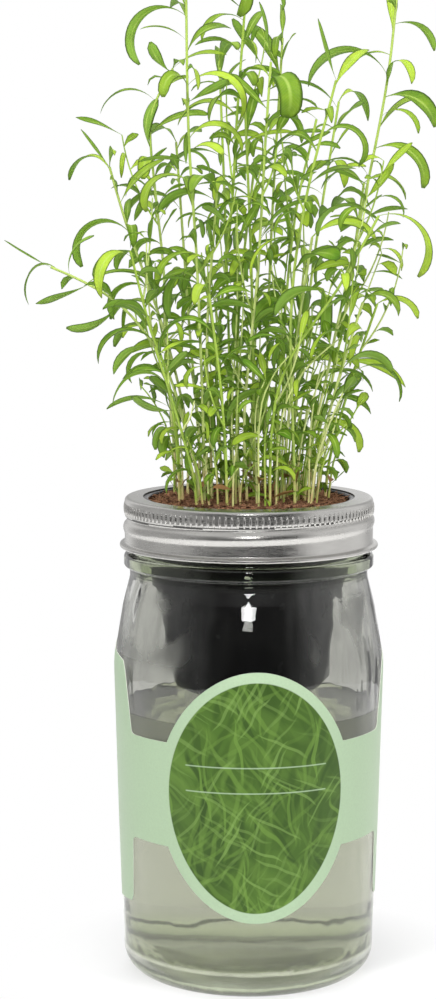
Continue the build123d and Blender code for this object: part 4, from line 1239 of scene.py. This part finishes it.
def litter_tree():
    """Strews bent fibres and crumbs over a surface."""
    inputs = {
        "Bed": ("Geometry", None), "Fibre density": ("Float", 1.0), "Crumb density": ("Float", 1.0),
        "Fibre length": ("Float", 0.005), "Crumb size": ("Float", 0.001), "Seed": ("Int", 4),
        "Fibre material": ("Material", None), "Crumb material": ("Material", None),
    }
    tree, g, out = new_group("coir_litter", "GeometryNodeTree", inputs, {"Litter": "Geometry"})

    def any_vector(low, high, seed):
        return made(tree, "FunctionNodeRandomValue", {0: low, 1: high, "Seed": seed}, data_type="FLOAT_VECTOR")

    def strewn(density, seed_shift, instance, low, high, tilt):
        seed = g["Seed"] + seed_shift
        values = {"Mesh": g["Bed"], "Density": density, "Seed": seed}
        spots = made(tree, "GeometryNodeDistributePointsOnFaces", values)
        turn = any_vector((-tilt, -tilt, 0.0), (tilt, tilt, TAU), seed)
        values = {"Points": spots, "Instance": instance, "Rotation": turn, "Scale": any_vector(low, high, seed + 7.0)}
        return made(tree, "GeometryNodeInstanceOnPoints", values)

    reach = g["Fibre length"]
    arc = made(tree, "GeometryNodeCurveArc", {"Resolution": 6, "Radius": reach, "Sweep Angle": 1.3})
    back = made(tree, "ShaderNodeCombineXYZ", {0: reach * -0.85, 1: reach * -0.5, 2: 0.0004})
    arc = made(tree, "GeometryNodeSetPosition", {"Geometry": arc, "Offset": back})
    thread = made(tree, "GeometryNodeCurvePrimitiveCircle", {"Resolution": 3, "Radius": 0.00013})
    fibre = made(tree, "GeometryNodeCurveToMesh", {"Curve": arc, "Profile Curve": thread, "Fill Caps": True})
    crumb = made(tree, "GeometryNodeMeshIcoSphere", {"Radius": g["Crumb size"] * 0.5, "Subdivisions": 1})
    fibres = strewn(g["Fibre density"], 1.0, fibre, (0.5, 0.5, 0.6), (1.3, 1.3, 1.3), 0.5)
    crumbs = strewn(g["Crumb density"], 2.0, crumb, (0.5, 0.4, 0.3), (1.5, 1.2, 0.9), 3.0)
    return joined_up(tree, out, [(fibres, g["Fibre material"]), (crumbs, g["Crumb material"])])


def grown(piece, tree, **inputs):
    """Runs a Geometry Nodes tree on the piece, with inputs by name, and keeps the result as a plain mesh."""
    modifier = piece.modifiers.new(tree.name, "NODES")
    modifier.node_group = tree
    for item in tree.interface.items_tree:
        key = item.name.replace(" ", "_")
        if item.item_type == "SOCKET" and item.in_out == "INPUT" and key in inputs:
            modifier[item.identifier] = inputs[key]
    return plain_mesh(piece)


# Outlines that several pieces share.
def jar_outer_corners(s):
    return [
        (0, s.push_up_height, 0),
        (s.push_up_flat, s.push_up_height, s.push_up_rounding),
        (s.push_up_radius, 0, 0),
        (s.foot_radius, 0, s.heel_rounding),
        (s.waist_radius, s.waist_height, s.waist_rounding),
        (s.shoulder_radius, s.shoulder_height, s.shoulder_rounding),
        (s.upper_shoulder_radius, s.upper_shoulder_height, s.upper_shoulder_rounding),
        (s.neck_radius, s.neck_height, s.neck_rounding),
        (s.neck_radius, s.bead_low, s.root_rounding),
        (s.bead_radius, s.bead_low, s.bead_rounding),
        (s.bead_radius, s.bead_high, s.bead_rounding),
        (s.root_radius, s.bead_high, s.root_rounding),
        (s.root_radius, JAR_HIGH.z, s.rim_rounding),
    ]


def jar_inner_corners(s, inset=0.0):
    """The inner wall from the mouth down; a positive inset lies inside the glass."""
    floor_z = s.push_up_height + s.floor_thickness
    return [
        (s.mouth_radius + inset, JAR_HIGH.z, s.rim_rounding),
        (s.mouth_radius + inset, s.neck_height + s.mouth_taper - s.wall, s.upper_shoulder_rounding),
        (s.upper_shoulder_radius - s.wall + inset, s.upper_shoulder_height - s.wall, s.upper_shoulder_rounding),
        (s.shoulder_radius - s.wall + inset, s.shoulder_height, s.shoulder_rounding),
        (s.waist_radius - s.wall + inset, s.waist_height, s.waist_rounding),
        (s.foot_radius - s.wall + inset, floor_z - inset, s.floor_rounding + inset),
        (0, floor_z - inset, 0),
    ]


def jar_radius_at(s, z):
    """The outer radius of the jar's wall at a height, between its foot and its upper shoulder."""
    rows = rounded_rows(jar_outer_corners(s), math.radians(2))
    radii, heights = zip(*((r, h) for r, h in rows if h < s.neck_height and r > s.neck_radius))
    return float(np.interp(z, heights, radii))


class JAR_OT_stage(Operator):
    """Adds the camera, the soft lights and the pale floor"""

    bl_idname = "jar.stage"
    bl_label = "Stage"

    def execute(self, context):
        s = context.scene.jar_stage
        camera = bpy.data.objects.new("view_camera", bpy.data.cameras.new("view_camera"))
        context.scene.collection.objects.link(camera)
        camera.data.sensor_fit = "VERTICAL"
        camera.data.sensor_height = 36.0
        camera.data.lens = s.lens
        camera.location = (s.camera_x, -s.camera_distance, s.camera_height)
        camera.rotation_euler = (math.pi / 2 - s.camera_tilt, 0, 0)
        context.scene.camera = camera
        context.scene.view_settings.view_transform = "Standard"
        self.add_world(context, s)
        self.add_lights(context, s)
        self.add_table(s)
        return {"FINISHED"}

    def seen(self, path):
        """Rays from the camera, straight or through clear glass, but not through a leaf."""
        clear = Value(path["Is Transmission Ray"]).math("SUBTRACT", path["Is Diffuse Ray"], True)
        return clear.math("MAXIMUM", path["Is Camera Ray"])

    def add_world(self, context, s):
        """White all around, even light for the object, and a dim studio in front for what mirrors."""
        world = bpy.data.worlds.new("studio_world")
        context.scene.world = world
        world.use_nodes = True
        tree = world.node_tree
        tree.nodes.clear()
        wire(tree, "ShaderNodeOutputWorld")
        path = wire(tree, "ShaderNodeLightPath").outputs
        x, y, z = parts_of(tree, made(tree, "ShaderNodeTexCoord", output="Generated"))
        stripes = (x * 9.0).math("SINE").ranged(-0.7, 0.9, 0.55, 1.0)
        level = (y.ranged(-0.86, -0.45) * stripes).math("MAXIMUM", z.ranged(0.32, 0.7, s.dark_front, 0.8))
        lit, shown, mirrored = (
            wire(tree, "ShaderNodeBackground", {"Color": WHITE, "Strength": power}) for power in (s.sky, 1.0, level)
        )
        soft = blended(tree, self.seen(path), lit, shown)
        blended(tree, Value(path["Glossy Depth"]).math("GREATER_THAN", 0.5), soft, mirrored)

    def add_lights(self, context, s):
        """Lamps with their place, size and power; only the two in front show in what mirrors."""
        for name, place, size, power, mirrored in (
            ("left_light", (-0.75, -1.0, 0.95), (0.3, 0.3), s.side_power, False),
            ("right_light", (0.95, -0.65, 0.75), (0.35, 0.35), 0.75 * s.side_power, False),
            ("rear_light", (0.15, 0.95, 0.95), (0.6, 0.6), s.rear_power, False),
            ("top_light", (-0.10, -0.40, 1.20), (0.5, 0.5), s.top_power, False),
            ("front_light", (0.0, -1.25, 0.86), (0.20, 0.10), 0.3 * s.front_power, True),
            ("low_front_light", (-0.02, -1.25, 0.60), (0.20, 0.20), 0.7 * s.front_power, True),
        ):
            lamp = bpy.data.lights.new(name, "AREA")
            lamp.shape = "ELLIPSE"
            lamp.size, lamp.size_y = size
            lamp.energy = power
            holder = bpy.data.objects.new(name, lamp)
            holder.location = place
            aim = LAMP_TARGET - Vector(place)
            holder.rotation_euler = aim.to_track_quat("-Z", "Y").to_euler()
            holder.visible_glossy = holder.visible_transmission = mirrored
            context.scene.collection.objects.link(holder)

    def add_table(self, s):
        """A round pale table that keeps the jar's shadow and turns plain white away from it."""
        mesh = bmesh.new()
        bmesh.ops.create_circle(mesh, cap_ends=True, radius=s.table_radius, segments=96)
        table = finished("studio_table", mesh)
        material, tree, shader = new_material("studio_table")
        path = wire(tree, "ShaderNodeLightPath").outputs
        patches = mottling(tree, 3.0, 40.0)["Patches"]
        shade = mixed(tree, patches, s.table_colour, [c * 1.02 for c in s.table_colour])
        shade = mixed(tree, path["Is Diffuse Ray"], shade, [c * s.table_bounce for c in s.table_colour])
        feed(tree, shader, Base_Color=shade, Roughness=0.9, Specular_IOR_Level=0.1)
        place = made(tree, "ShaderNodeTexCoord", output="Object")
        away = made(tree, "ShaderNodeVectorMath", {0: place}, "Value", operation="LENGTH")
        plain = away.ranged(0.4 * s.shadow_radius, s.shadow_radius)
        white = wire(tree, "ShaderNodeEmission", {"Color": WHITE, "Strength": 1.0})
        blended(tree, self.seen(path) * plain, shader, white)
        painted(table, material)
        table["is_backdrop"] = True


class JAR_OT_glass(Operator):
    """Makes the glass jar with its rounded heel, bead, thread and moulded ticks"""

    bl_idname = "jar.glass"
    bl_label = "Glass jar"

    def execute(self, context):
        s = context.scene.jar_glass
        outer = rounded_rows(jar_outer_corners(s), math.radians(3))
        inner = rounded_rows(jar_inner_corners(s), math.radians(4))
        rim = [(radius, JAR_HIGH.z, s.rim_rounding) for radius in (s.root_radius, s.mouth_radius)]
        joined = rounded_rows([(*outer[-2], 0), *rim, (*inner[1], 0)])
        outer = divided(outer[:-1], 1.5 * MM)
        rows = outer[:-1] + joined + divided(inner[1:], 3.0 * MM)[1:]
        start = JAR_HIGH.z - s.thread_below_rim

        def push(angles, r, z):
            extra = np.zeros(len(angles))
            if z > s.bead_high and r > s.root_radius - 0.1 * MM:
                for turn in range(3):
                    height = angles / TAU + turn
                    inside = np.clip(np.minimum(height, s.thread_turns - height) * 12, 0, 1)
                    ridge = bump_curve(z - start - height * s.thread_pitch, s.thread_half)
                    extra += s.thread_depth * ridge * inside
            elif z < s.waist_height and r > s.foot_radius - 2 * MM:
                front = (angles - 0.5 * math.pi) % TAU - math.pi
                for level, middle, half in GLASS_TICKS:
                    tick = bump_curve(z - level * MM, 1.1 * MM)
                    extra += s.tick_height * tick * bump_curve(front - middle, half)
            elif r < s.foot_radius - s.wall - 0.05 * MM and s.push_up_height < z < 2 * s.floor_rounding:
                wave = sum(share * np.sin(waves * angles + shift) for waves, shift, share in HEEL_WAVES)
                fade = bump_curve(z - s.floor_thickness - 6 * MM, 9 * MM)
                fade *= np.clip((r - s.push_up_flat) / s.push_up_flat, 0, 1)
                extra -= s.heel_wave * fade * (0.35 + 0.25 * wave)
            return extra

        jar = lathe("jar_glass_shell", rows, JAR_SEGMENTS, push)
        painted(jar, glass_material(s))
        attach(jar, "jar")
        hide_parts("glass_jar")
        return {"FINISHED"}


class JAR_OT_water(Operator):
    """Fills the jar with water up to just below the pot"""

    bl_idname = "jar.water"
    bl_label = "Water"

    def execute(self, context):
        s = context.scene.jar_glass
        wall = divided(rounded_rows(jar_inner_corners(s, s.water_bite)), 1.5 * MM)
        below = [p for p in wall if p[1] < s.water_level + s.meniscus]
        top = [(below[0][0] * t, s.water_level + s.meniscus * t**28) for t in np.linspace(0, 1, 25)]
        water = lathe("reservoir_water", top + below, WATER_SEGMENTS)
        painted(water, water_material(s))
        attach(water, "jar")
        return {"FINISHED"}


class JAR_OT_label(Operator):
    """Wraps the die-cut paper label round the jar"""

    bl_idname = "jar.label"
    bl_label = "Label"

    def execute(self, context):
        s = context.scene.jar_label
        jar = context.scene.jar_glass
        sheet = self.flat_sheet(s, jar)
        self.wrap(sheet, s, jar)
        label = finished("label_wrap", sheet, math.radians(60))
        painted(label, paper_material(s), paper_core_material())
        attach(label, "jar")
        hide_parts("label")
        return {"FINISHED"}

    def flat_sheet(self, s, jar):
        """The label laid flat as (angle, height) cells, cut along the oval, the strip and the side panels."""
        right, left = self.half_outline(s, jar, 1), self.half_outline(s, jar, -1)
        whole = right + left[::-1][1:-1]
        mesh = bmesh.new()
        verts = [mesh.verts.new((a, z, 0)) for a, z in whole]
        edges = [mesh.edges.new((verts[k], verts[(k + 1) % len(verts)])) for k in range(len(verts))]
        bmesh.ops.triangle_fill(mesh, use_beauty=True, edges=edges)
        cuts = [((a, 0, 0), (1, 0, 0)) for a in np.arange(-math.pi, math.pi, math.radians(1.5))]
        cuts += [((0, z, 0), (0, 1, 0)) for z in np.arange(s.panel_low, s.panel_high, 3 * MM)]
        for place, normal in cuts:
            sliced(mesh, place, normal)
        return mesh

    def half_outline(self, s, jar, side):
        """One side's outline, from the oval's top round the panel and the strip's end to the oval's bottom."""
        middle, half_height = (s.oval_low + s.oval_high) / 2, (s.oval_high - s.oval_low) / 2
        rear = s.seam / 2 / jar.waist_radius

        def at(x, z, behind=False):
            angle = math.asin(min(1.0, x / (jar_radius_at(jar, z) + s.paste_gap + s.paper)))
            return (side * (math.pi - angle if behind else angle), z)

        def line(start, end, steps, behind=False):
            return [at(*between(start, end, t), behind) for t in np.linspace(0, 1, steps)]

        def oval(low, high):
            spread = np.linspace(*(math.asin((z - middle) / half_height) for z in (low, high)), 40)
            return [at(s.oval_half_width * math.cos(t), middle + half_height * math.sin(t)) for t in spread]

        def window(strip_z, panel_z, edge, panel_edge):
            """From the strip out to the panel's front edge, up or down it and round its corner."""
            up = math.copysign(1, panel_z - strip_z)
            edge, panel_edge = edge + side * s.panel_shift, panel_edge + side * s.panel_shift
            c = s.strip_rounding
            start = [at(edge - c, strip_z), at(edge - 0.3 * c, strip_z + up * 0.3 * c)]
            corner_z = panel_z - up * s.panel_corner
            rise = line((edge, strip_z + up * c), (panel_edge, corner_z - up * c), 14)
            brim = jar.shoulder_radius + 2 * c
            slant = line((panel_edge + 0.4 * c, corner_z + up * c), (brim, panel_z - up * 0.4 * c), 24)
            slant = [p for p in slant if abs(p[0]) < math.pi / 2 - 0.01]
            return start + rise + slant + [(side * (math.pi / 2 + 0.06), panel_z)]

        def panel_rear(panel_z, strip_z):
            return line((s.panel_rear_edge, panel_z), (s.panel_rear_edge, strip_z), 12, behind=True)

        outline = oval(s.strip_high, s.oval_high)[::-1]
        outline += window(s.strip_high, s.panel_high, s.panel_edge_high, s.panel_edge_top)
        outline += panel_rear(s.panel_high, s.strip_high)
        outline += [(side * (math.pi - rear), s.strip_high), (side * (math.pi - rear), s.strip_low)]
        outline += panel_rear(s.panel_low, s.strip_low)[::-1]
        outline += window(s.strip_low, s.panel_low, s.panel_edge_low, s.panel_edge_low)[::-1]
        return outline + oval(s.oval_low, s.strip_low)[::-1]

    def wrap(self, mesh, s, jar):
        """Gives the flat sheet its thickness and bends it onto the glass."""
        uv = mesh.loops.layers.uv.new("print")
        middle = (s.oval_low + s.oval_high) / 2
        radius = jar_radius_at(jar, middle) + s.paste_gap + s.paper
        for face in mesh.faces:
            face.normal_update()
            if face.normal.z < 0:
                face.normal_flip()
            for loop in face.loops:
                a, z, _ = loop.vert.co
                loop[uv].uv = (radius * (math.sin(a) if abs(a) < 1.2 else a) / MM, (z - middle) / MM)
        under = bmesh.ops.duplicate(mesh, geom=mesh.verts[:] + mesh.edges[:] + mesh.faces[:])
        for item in under["geom"]:
            if isinstance(item, bmesh.types.BMVert):
                item.co.z = -s.paper
            elif isinstance(item, bmesh.types.BMFace):
                item.normal_flip()
                item.material_index = 1
        rims = bmesh.ops.bridge_loops(mesh, edges=[e for e in mesh.edges if e.is_boundary])
        for face in rims["faces"]:
            face.material_index = 1
        heights = np.linspace(s.panel_low, s.panel_high, 200)
        radii = [jar_radius_at(jar, z) for z in heights]
        for vert in mesh.verts:
            a, z, depth = vert.co
            r = float(np.interp(z, heights, radii)) + s.paste_gap + s.paper + depth
            turned = a + s.turn
            vert.co = (r * math.sin(turned), -r * math.cos(turned), z)


class JAR_OT_band(Operator):
    """Rolls the tinplate screw band with its knurled belt and thread"""

    bl_idname = "jar.band"
    bl_label = "Screw band"

    def execute(self, context):
        s = context.scene.jar_band
        jar = context.scene.jar_glass
        top, low = BAND_HIGH.z, BAND_LOW.z
        outer = s.inner_radius + s.sheet
        corners = [
            (s.opening_radius, top, 0),
            (outer, top, s.corner_rounding),
            (outer, low + s.lip_bead + 0.7 * MM, 0.6 * MM),
            (outer + s.lip_flare, low + s.lip_bead, 0.45 * s.lip_bead),
            (outer + s.lip_flare, low, 0.45 * s.lip_bead),
            (outer + s.lip_flare - 1.2 * s.lip_bead, low, 0.3 * s.lip_bead),
            (s.inner_radius, low + s.lip_height, 0.5 * s.lip_height),
            (s.inner_radius, top - s.sheet, s.corner_rounding - s.sheet),
            (s.opening_radius, top - s.sheet, 0),
        ]
        rows = divided(rounded_rows(corners, math.radians(15)), 0.45 * MM)
        middle = low + s.roll_height

        def push(angles, r, z):
            if r < s.inner_radius - 1.0 * MM or z < low + s.lip_height:
                return np.zeros(len(angles))
            swing = (angles / TAU - 0.25) % 1.0
            helix = middle + (swing - 0.5) * jar.thread_pitch
            rise = z - helix + 1.4 * MM
            run_out = np.clip(1 - swing * 5, 0, 1)
            bulge = bump_curve(rise, 2.4 * MM) + bump_curve(rise + jar.thread_pitch, 2.4 * MM) * run_out
            groove = bump_curve(z - helix - 1.5 * MM, 1.5 * MM)
            return s.roll_depth * (0.75 * bulge - groove)

        band = lathe("band_shell", rows, BAND_SEGMENTS, push, looped=True)
        metal = tinplate_material(s)
        painted(band, metal, shaded_lining_material(s))
        # The inner faces take the dark lining, which paints the shade inside the band.
        for face in band.data.polygons:
            x, y, z = face.center
            inward = face.normal.x * x + face.normal.y * y < 0 or face.normal.z < -0.5
            face.material_index = int(inward and math.hypot(x, y) < outer - 0.3 * s.sheet)
        belt = new_object("band_knurl", bpy.data.meshes.new("band_knurl"))
        pitch = TAU * outer / s.knurl_count
        grown(
            belt, knurl_tree(), Count=s.knurl_count, Radius=outer - 0.1 * MM,
            Middle=top - s.knurl_below_top - s.knurl_height / 2,
            Ridge_size=(2 * (s.knurl_depth + 0.1 * MM), 0.62 * pitch, s.knurl_height), Material=metal,
        )
        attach(band, "band")
        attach(belt, "band")
        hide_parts("screw_band")
        return {"FINISHED"}


class JAR_OT_pot(Operator):
    """Makes the black grow pot with its slotted floor, and the felt wick"""

    bl_idname = "jar.pot"
    bl_label = "Grow pot and wick"

    def execute(self, context):
        s = context.scene.jar_pot
        jar = context.scene.jar_glass
        rim, top, low = JAR_HIGH.z, POT_HIGH.z, POT_LOW.z
        neck = jar.mouth_radius - s.mouth_gap
        floor_top = low + s.wall
        floor_inner = s.floor_radius + (neck - s.floor_radius) * s.wall / (rim - low) - s.wall
        corners = [
            (0, low, 0),
            (s.floor_radius, low, s.corner_rounding),
            (neck, rim, 0.2 * MM),
            (s.flange_radius, rim, 0.2 * MM),
            (s.flange_radius, top, s.flange_rounding),
            (neck - s.wall, top, s.flange_rounding),
            (floor_inner, floor_top, s.corner_rounding - s.wall),
            (0, floor_top, 0),
        ]
        pot = lathe("grow_pot_shell", divided(rounded_rows(corners), 4 * MM), POT_SEGMENTS)
        self.cut_slots(pot, s, low)
        pot.data.materials.clear()
        painted(pot, plastic_material(s))
        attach(pot, "insert")
        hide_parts("grow_pot")
        wick = self.make_wick(s)
        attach(wick, "plug")
        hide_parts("wick")
        return {"FINISHED"}

    def cut_slots(self, pot, s, low):
        mesh = bmesh.new()
        half = s.slot_width / 2
        span = (s.slot_inner + half, s.slot_outer - half)
        for i in range(s.slot_count):
            turn = Matrix.Rotation(TAU * (i + 0.5) / s.slot_count, 4, "Z")
            outline = []
            for x, first in ((span[1], -math.pi / 2), (span[0], math.pi / 2)):
                spread = np.linspace(first, first + math.pi, 9)
                outline += [turn @ Vector((x + half * math.cos(t), half * math.sin(t), 0)) for t in spread]
            self.add_prism(mesh, outline, low, s)
        w, t = s.wick_width / 2 + s.wick_gap, s.wick_thickness / 2 + s.wick_gap
        self.add_prism(mesh, [Vector(p) for p in ((-w, -t), (w, -t), (w, t), (-w, t))], low, s)
        cutter = finished("slot_cutter", mesh)
        cut = pot.modifiers.new("slots", "BOOLEAN")
        cut.object = cutter
        cut.solver = "EXACT"
        plain_mesh(pot)
        bpy.data.objects.remove(cutter)
        smooth(pot.data, math.radians(35))

    def add_prism(self, mesh, outline, low, s):
        lower, upper = ([mesh.verts.new((p.x, p.y, z)) for p in outline] for z in (low - s.wall, low + 2 * s.wall))
        mesh.faces.new(lower[::-1])
        mesh.faces.new(upper)
        for k in range(len(outline)):
            n = (k + 1) % len(outline)
            mesh.faces.new((lower[k], lower[n], upper[n], upper[k]))

    def make_wick(self, s):
        mesh = bmesh.new()
        bmesh.ops.create_cube(mesh, size=1.0)
        low = WICK_LOW + Vector((0, 0, s.wick_trim))
        size = WICK_HIGH - low
        bmesh.ops.scale(mesh, verts=mesh.verts, vec=size)
        bmesh.ops.translate(mesh, verts=mesh.verts, vec=(WICK_HIGH + low) / 2)
        bmesh.ops.bevel(mesh, geom=mesh.edges[:], offset=0.5 * MM, segments=2, affect="EDGES")
        for level in np.arange(low.z + 1 * MM, WICK_HIGH.z - 1 * MM, 1.2 * MM):
            sliced(mesh, (0, 0, level), (0, 0, 1))
        for level in np.linspace(-0.4, 0.4, 7) * size.x:
            sliced(mesh, (level, 0, 0), (1, 0, 0))
        for vert in mesh.verts:
            sink = abs(noise.noise(vert.co * 600))
            vert.co.y -= 0.12 * MM * sink * (1 if vert.co.y > 0 else -1)
            vert.co.x -= 0.25 * MM * sink * (1 if vert.co.x > 0 else -1)
        return finished("wick_strip", in_order(mesh))


class JAR_OT_coir(Operator):
    """Heaps the coir plug and strews fibres and crumbs on it"""

    bl_idname = "jar.coir"
    bl_label = "Coir plug"

    def execute(self, context):
        s = context.scene.jar_coir
        pot = context.scene.jar_pot
        jar = context.scene.jar_glass
        rim, low = JAR_HIGH.z, POT_LOW.z
        neck = jar.mouth_radius - pot.mouth_gap

        def inner_radius(z):
            return pot.floor_radius + (neck - pot.floor_radius) * (z - low) / (rim - low) - pot.wall - s.plug_gap

        top, edge_z = PLUG_HIGH.z, PLUG_HIGH.z - s.crown
        corners = [
            (0, PLUG_LOW.z, 0),
            (inner_radius(PLUG_LOW.z), PLUG_LOW.z, pot.corner_rounding - pot.wall),
            (inner_radius(edge_z), edge_z, 0),
            (s.crown_radius, top, 4 * MM),
            (0, top, 0),
        ]
        rows = rounded_rows(corners)
        rows = rows[:-2] + divided(rows[-2:], 0.9 * MM)
        bed = lathe("coir_plug", rows, COIR_SEGMENTS, sharp=math.pi)
        for vert in bed.data.vertices:
            if vert.co.z > edge_z - 1 * MM:
                fade = min(1.0, (inner_radius(edge_z) - math.hypot(vert.co.x, vert.co.y)) / (3 * MM))
                rough = noise.noise(vert.co * 260) * 0.9 + noise.noise(vert.co * 700) * 0.5
                swell = noise.noise(vert.co * 60)
                vert.co.z += fade * MM * (0.55 * rough + 0.7 * swell - 0.4)
        painted(bed, coir_material(s, "coir_bed", -0.1, 0.26))
        litter = self.strew(s, bed, edge_z)
        for piece in (bed, litter):
            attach(piece, "plug")
        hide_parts("growing_medium")
        return {"FINISHED"}

    def strew(self, s, bed, edge_z):
        mesh = bmesh.new()
        mesh.from_mesh(bed.data)
        side = [f for f in mesh.faces if f.calc_center_median().z < edge_z + 0.3 * MM or f.normal.z < 0.3]
        bmesh.ops.delete(mesh, geom=side, context="FACES")
        area = sum(f.calc_area() for f in mesh.faces)
        litter = new_object("coir_litter", mesh_of("coir_litter", mesh))
        return grown(
            litter, litter_tree(), Fibre_density=s.fibre_count / area, Crumb_density=s.crumb_count / area,
            Fibre_length=s.fibre_length, Crumb_size=s.crumb_size, Seed=4,
            Fibre_material=coir_material(s, "coir_fibre", 0.50, 0.6),
            Crumb_material=coir_material(s, "coir_crumb", -0.05, 0.8),
        )


class JAR_OT_herbs(Operator):
    """Grows the herbs: one piece for each stem with its leaves"""

    bl_idname = "jar.herbs"
    bl_label = "Herbs"

    def execute(self, context):
        s = context.scene.jar_herbs
        plan = HerbPlan(s)
        plan.add_sprouts()
        plan.add_shoots()
        plan.add_tufts()
        plan.add_small_leaves()
        tree = growth_tree()
        stem, leaf = stem_material(s), leaf_material(s)
        for own in range(len(plan.stems)):
            points, edges, values, across = herb_lines(plan, own)
            name = f"herb_{own + 1:02d}"
            data = bpy.data.meshes.new(name)
            data.from_pydata(points, edges, [])
            for key, column in values.items():
                data.attributes.new(key, "FLOAT", "POINT").data.foreach_set("value", column)
            data.attributes.new("across", "FLOAT_VECTOR", "POINT").data.foreach_set("vector", np.ravel(across))
            plant = new_object(name + "_foliage", data)
            grown(plant, tree, Stem_material=stem, Leaf_material=leaf)
            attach(plant, "plug")
            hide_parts(name)
        return {"FINISHED"}


class JAR_PT_panel(Panel):
    """Lists the steps that build the planter"""

    bl_idname = "JAR_PT_panel"
    bl_label = "Jar planter"
    bl_space_type = "VIEW_3D"
    bl_region_type = "UI"
    bl_category = "Jar planter"

    def draw(self, context):
        for operator in OPERATORS:
            self.layout.operator(operator.bl_idname)


OPERATORS = (JAR_OT_stage, JAR_OT_glass, JAR_OT_water, JAR_OT_label, JAR_OT_band, JAR_OT_pot, JAR_OT_coir, JAR_OT_herbs)
GROUPS = {
    "jar_stage": StageSizes,
    "jar_glass": JarSizes,
    "jar_label": LabelSizes,
    "jar_band": BandSizes,
    "jar_pot": PotSizes,
    "jar_coir": CoirSizes,
    "jar_herbs": HerbSizes,
}


def register():
    for name, group in GROUPS.items():
        bpy.utils.register_class(group)
        setattr(bpy.types.Scene, name, PointerProperty(type=group))
    for item in (*OPERATORS, JAR_PT_panel):
        bpy.utils.register_class(item)


def unregister():
    for item in (JAR_PT_panel, *reversed(OPERATORS)):
        bpy.utils.unregister_class(item)
    for name, group in reversed(GROUPS.items()):
        delattr(bpy.types.Scene, name)
        bpy.utils.unregister_class(group)


def main():
    register()
    for step in ("stage", "glass", "water", "label", "band", "pot", "coir", "herbs"):
        result = getattr(bpy.ops.jar, step)()
        if "FINISHED" not in result:
            raise RuntimeError(f"the step {step} did not finish")
    boxes = {"cad": cad_bounds, "visual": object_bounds()}
    plain = {key: [list(map(float, corner)) for corner in box] for key, box in boxes.items()}


if __name__ == "__main__":
    main()
